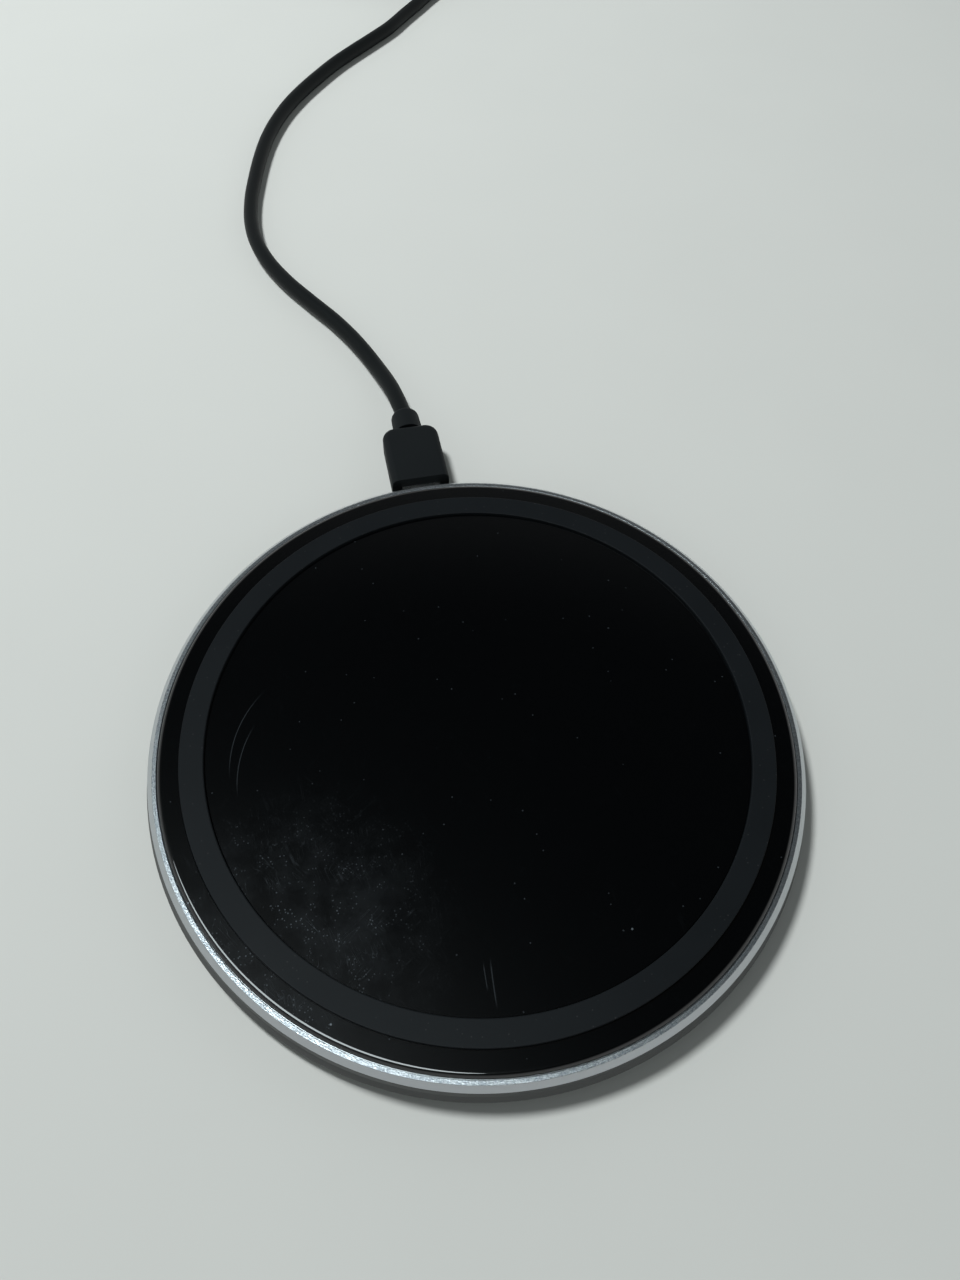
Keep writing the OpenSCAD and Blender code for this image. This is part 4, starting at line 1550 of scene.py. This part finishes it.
@dataclass
class Cord:
    """The lead's cord, from the plug's stub to the supply plug. Sizes in millimetres."""

    cord_d: float = 3.2
    exit_at: Place = CORD_EXIT
    sunk: float = 1.5
    length: float = 1000.0
    run: tuple[Place, ...] = (
        (0, 0, 1.3), (-1.1, 8, 0.8), (-3.1, 15.6, 0.1), (-5.9, 23.2, 0), (-9.4, 30.4, 0),
        (-13.7, 37.5, 0), (-17.9, 44.7, 0), (-21.2, 52.1, 0), (-23.2, 59.7, 0), (-23.7, 67.5, 0),
        (-23, 75.4, 0), (-21.5, 83.3, 0), (-19.7, 91.1, 0), (-17.5, 98.7, 0), (-14.6, 106, 0),
        (-10.9, 113.1, 0), (-6.4, 119.8, 0), (-1.4, 126.1, 0), (3.8, 132.1, 0), (9.6, 137.8, 0),
        (15.5, 143.3, 0), (21.2, 148.9, 0), (26, 154.8, 0), (30.7, 160.4, 0), (35.2, 165.9, 0.1),
        (40, 171.6, 0.4))
    coil_place: Pair = (30.0, 195.5)
    coil_r: float = 23.2
    coil_first: float = -42.0
    coil_last: float = 0.0
    coil_turns: int = 7
    coil_pitch: float = 3.7
    coil_z: float = 2.2
    coil_soft: float = 0.1
    climb_rate: float = 2.0
    turn_points: int = 90
    run_points: int = 6
    fineness: int = 5
    tail: tuple[Place, ...] = (
        (23.3, 8, 3.7), (23.4, 12.5, 2.6), (23.2, 17, 1.3), (22.6, 21.5, 0.4), (21, 25.8, 0),
        (17.8, 29.7, 0), (13.6, 32.4, 0.2), (8.8, 33.5, 0.9), (4, 33.6, 1.8))
    end_at: Place = CORD_END

    @property
    def coil_all(self) -> float:
        """Turns from the coil's first angle to its last."""
        return self.coil_turns + (self.coil_last - self.coil_first) / 360

    @property
    def coil_centre(self) -> Vector:
        """Middle of the put-away coil on the ground."""
        return Vector((self.coil_place[0], self.coil_place[1] + self.exit_at[1], 0))

    def coil_at(self, turn: float) -> Vector:
        """Gives a place on the coil, which goes in along one layer and out along the next.

        Args:
            turn: turns from its start.

        Returns:
            The place, in millimetres.
        """
        angle = math.radians(self.coil_first + 360 * turn)
        past_middle = turn - self.coil_all / 2
        inner = self.coil_r - self.coil_pitch * self.coil_all / 2
        reach = inner + self.coil_pitch * math.hypot(past_middle, self.coil_soft)
        climb = min(1.0, max(0.0, self.climb_rate * past_middle + 0.5))
        rise = self.coil_z + self.coil_pitch * climb * climb * (3 - 2 * climb)
        return self.coil_centre + Vector((reach * math.cos(angle), reach * math.sin(angle), rise))

    def line(self) -> list[Vector]:
        """Lays the cord from its exit to the supply plug.

        Returns:
            Its middle line, in millimetres.
        """
        lift = Vector((0, 0, self.cord_d / 2))
        start = Vector((0, self.exit_at[1], 0)) + lift
        run = [start + Vector(point) for point in self.run]
        steps = math.ceil(self.coil_all * self.turn_points)
        coil = [self.coil_at(self.coil_all * step / steps) for step in range(steps + 1)]
        tail = [self.coil_centre + lift + Vector(point) for point in self.tail]
        root = Vector(self.exit_at) - Turn.REAR.way * self.sunk
        before = smooth_line([root, *run, coil[0]], self.run_points)[:-1]
        after = smooth_line([coil[-1], *tail, Vector(self.end_at)], self.run_points)[1:]
        return before + coil + after

    def build(self) -> Piece:
        """Lays and dresses the cord.

        Returns:
            The piece.
        """
        cord = laid_tube("cord", self.line(), self.cord_d / 2, self.fineness)
        Dresser.dress(cord, Moulded("cord_black", screen(15, 19, 20), rough=0.5, grain=0.0006, depth=5e-6,
                                    wander=0.1, gleam=0.14))
        keep(cord, LEAD, "cord_black", "cord_run", "cord_coil", "cord_tail")
        return cord

    def declare(self) -> None:
        """Works out the cord's exit in metres, and keeps nothing of it.
        """
        tuple(value * MM for value in self.exit_at)


@dataclass
class CoilTie:
    """Strap round the put-away coil. Sizes in millimetres."""

    strap_t: float = 0.5
    corner_r: float = 1.2
    near: float = 0.1

    def build(self) -> Piece:
        """Models the strap as a flat closed loop and dresses it.

        Returns:
            The piece.
        """
        low, high = (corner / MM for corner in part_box("cord_tie"))
        tie = Bench.block("coil_strap", low, high)
        Bench.pick(tie)
        bpy.ops.object.mode_set(mode="EDIT")
        bpy.ops.mesh.select_mode(type="FACE")
        form = bmesh.from_edit_mesh(tie.data)
        for face in form.faces:
            face.select = abs(face.normal.y) > ALONG
        bmesh.update_edit_mesh(tie.data)
        bpy.ops.mesh.inset(thickness=self.strap_t * MM, use_individual=True)
        bpy.ops.mesh.bridge_edge_loops()
        bpy.ops.mesh.select_all(action="SELECT")
        bpy.ops.mesh.normals_make_consistent(inside=False)
        bpy.ops.object.mode_set(mode="OBJECT")
        middle = (low + high) * (MM / 2)
        hollow = (high - low) * (MM / 2) - Vector.Fill(3, (self.strap_t - self.near) * MM)

        def outer(at: Vector, way: Vector) -> bool:
            """Takes the long edges at the loop's outer corners."""
            return abs(way.y) > ALONG and abs(at.x - middle.x) > hollow.x

        def inner(at: Vector, way: Vector) -> bool:
            """Takes the long edges at the loop's inner corners."""
            return abs(way.y) > ALONG and abs(at.x - middle.x) < hollow.x and abs(at.z - middle.z) < hollow.z

        Bench.round_edges(tie, self.corner_r, EDGE, outer)
        Bench.round_edges(tie, self.corner_r - self.strap_t, EDGE, inner)
        Bench.smooth(tie)
        Dresser.dress(tie, WovenStrap())
        keep(tie, LEAD, "tie_black", "cord_tie")
        return tie


@dataclass
class PhotoCamera:
    """Camera at the photograph's place. Millimetres."""

    place: Place = (-15.962, -55.301, 127.270)
    forward: Place = (0.13543, 0.49655, -0.85738)
    up: Place = (0.16495, 0.84197, 0.51369)
    lens: float = 24.975
    sensor: float = 36.0
    nearest: float = 10.0

    def build(self) -> None:
        """Adds the camera and makes it the scene's own."""
        data = bpy.data.cameras.new("photo_camera")
        data.lens = self.lens
        data.sensor_width = self.sensor
        data.sensor_fit = "AUTO"
        data.clip_start = self.nearest * MM
        camera = bpy.data.objects.new("photo_camera", data)
        bpy.context.scene.collection.objects.link(camera)
        back = -Vector(self.forward).normalized()
        right = Vector(self.up).cross(back).normalized()
        up = back.cross(right)
        turned = Matrix((right, up, back)).transposed().to_4x4()
        camera.matrix_world = Matrix.Translation(Vector(self.place) * MM) @ turned
        bpy.context.scene.camera = camera


@dataclass(frozen=True)
class Lamp:
    """Soft oval lamp that hangs over the pad. Degrees, metres and watts."""

    name: str
    azimuth: float
    height: float
    far: float
    sides: Pair
    power: float
    lie: float = 0.0
    colour: Colour = (1.0, 1.0, 1.0)
    lights: bool = True
    mirrored: bool = True

    def hang(self) -> None:
        """Adds the lamp, pointed at the pad with its long side as it lies."""
        data = bpy.data.lights.new(self.name, "AREA")
        data.shape = "ELLIPSE"
        data.size, data.size_y = self.sides
        data.energy = self.power
        data.color = self.colour
        lamp = bpy.data.objects.new(self.name, data)
        bpy.context.scene.collection.objects.link(lamp)
        lamp.visible_diffuse = self.lights
        lamp.visible_glossy = self.mirrored
        azimuth, height, lie = (math.radians(angle) for angle in (self.azimuth, self.height, self.lie))
        level = math.cos(height)
        way = Vector((level * math.cos(azimuth), level * math.sin(azimuth), math.sin(height)))
        side = Vector((math.cos(lie), math.sin(lie), 0))
        side = (side - way * side.dot(way)).normalized()
        turned = Matrix((side, way.cross(side), way)).transposed().to_4x4()
        lamp.matrix_world = Matrix.Translation(way * self.far) @ turned


@dataclass
class Studio:
    """Pale floor, a lamp that lights, a lamp that polished faces mirror, and a dim room with light walls."""

    floor_half: float = 3.0
    floor_cuts: int = 4
    floor_drop: float = 0.00002
    lamps: tuple[Lamp, ...] = (
        Lamp("lighting_lamp", 125, 57, 1.0, (0.2, 0.2), 8.4, mirrored=False),
        Lamp("mirrored_lamp", 189.3, 70.9, 0.721, (0.59, 0.3), 3.1, 317, (0.88, 0.98, 1.0), lights=False))
    wall_light: float = 0.52
    ceiling_light: float = 0.012
    ceiling_starts: float = 0.42
    ceiling_full: float = 0.85
    tint: Colour = (0.97, 1.0, 1.0)

    def floor(self) -> None:
        """Lays the floor just under the part."""
        Bench.clear()
        bpy.ops.mesh.primitive_plane_add(size=2 * self.floor_half)
        floor = Bench.named("floor")
        bpy.ops.object.mode_set(mode="EDIT")
        bpy.ops.mesh.subdivide(number_cuts=self.floor_cuts)
        bpy.ops.transform.translate(value=(0, 0, -self.floor_drop))
        bpy.ops.object.mode_set(mode="OBJECT")
        Dresser.dress(floor, PaleFloor())

    def room(self) -> None:
        """Lights the room's walls, and leaves its ceiling dim."""
        world = bpy.data.worlds.new("room")
        bpy.context.scene.world = world
        shader = Shader(world)
        rise = shader.axis(shader.node("ShaderNodeTexCoord", output="Generated"), "Z")
        wall = rise.band(self.ceiling_full, self.ceiling_starts)
        shader.shine(self.tint, self.ceiling_light + wall * (self.wall_light - self.ceiling_light))

    def build(self) -> None:
        """Sets the stage and how colours show."""
        self.floor()
        for lamp in self.lamps:
            lamp.hang()
        self.room()
        bpy.context.scene.view_settings.view_transform = "Standard"


def main() -> None:
    """Builds the camera, the cord and then the other sub-assemblies."""
    logging.basicConfig(level=logging.INFO, format="%(message)s")
    PhotoCamera().build()
    lead = Cord()
    cord = lead.build()
    tie = CoilTie().build()
    supply = SUPPLY_PLUG.build()
    lead.declare()
    PORT_PLUG.build()
    PadShell().build()
    TopDeck().build()
    ChargingStack().build()
    Board().build()
    Studio().build()


if __name__ == "__main__":
    main()
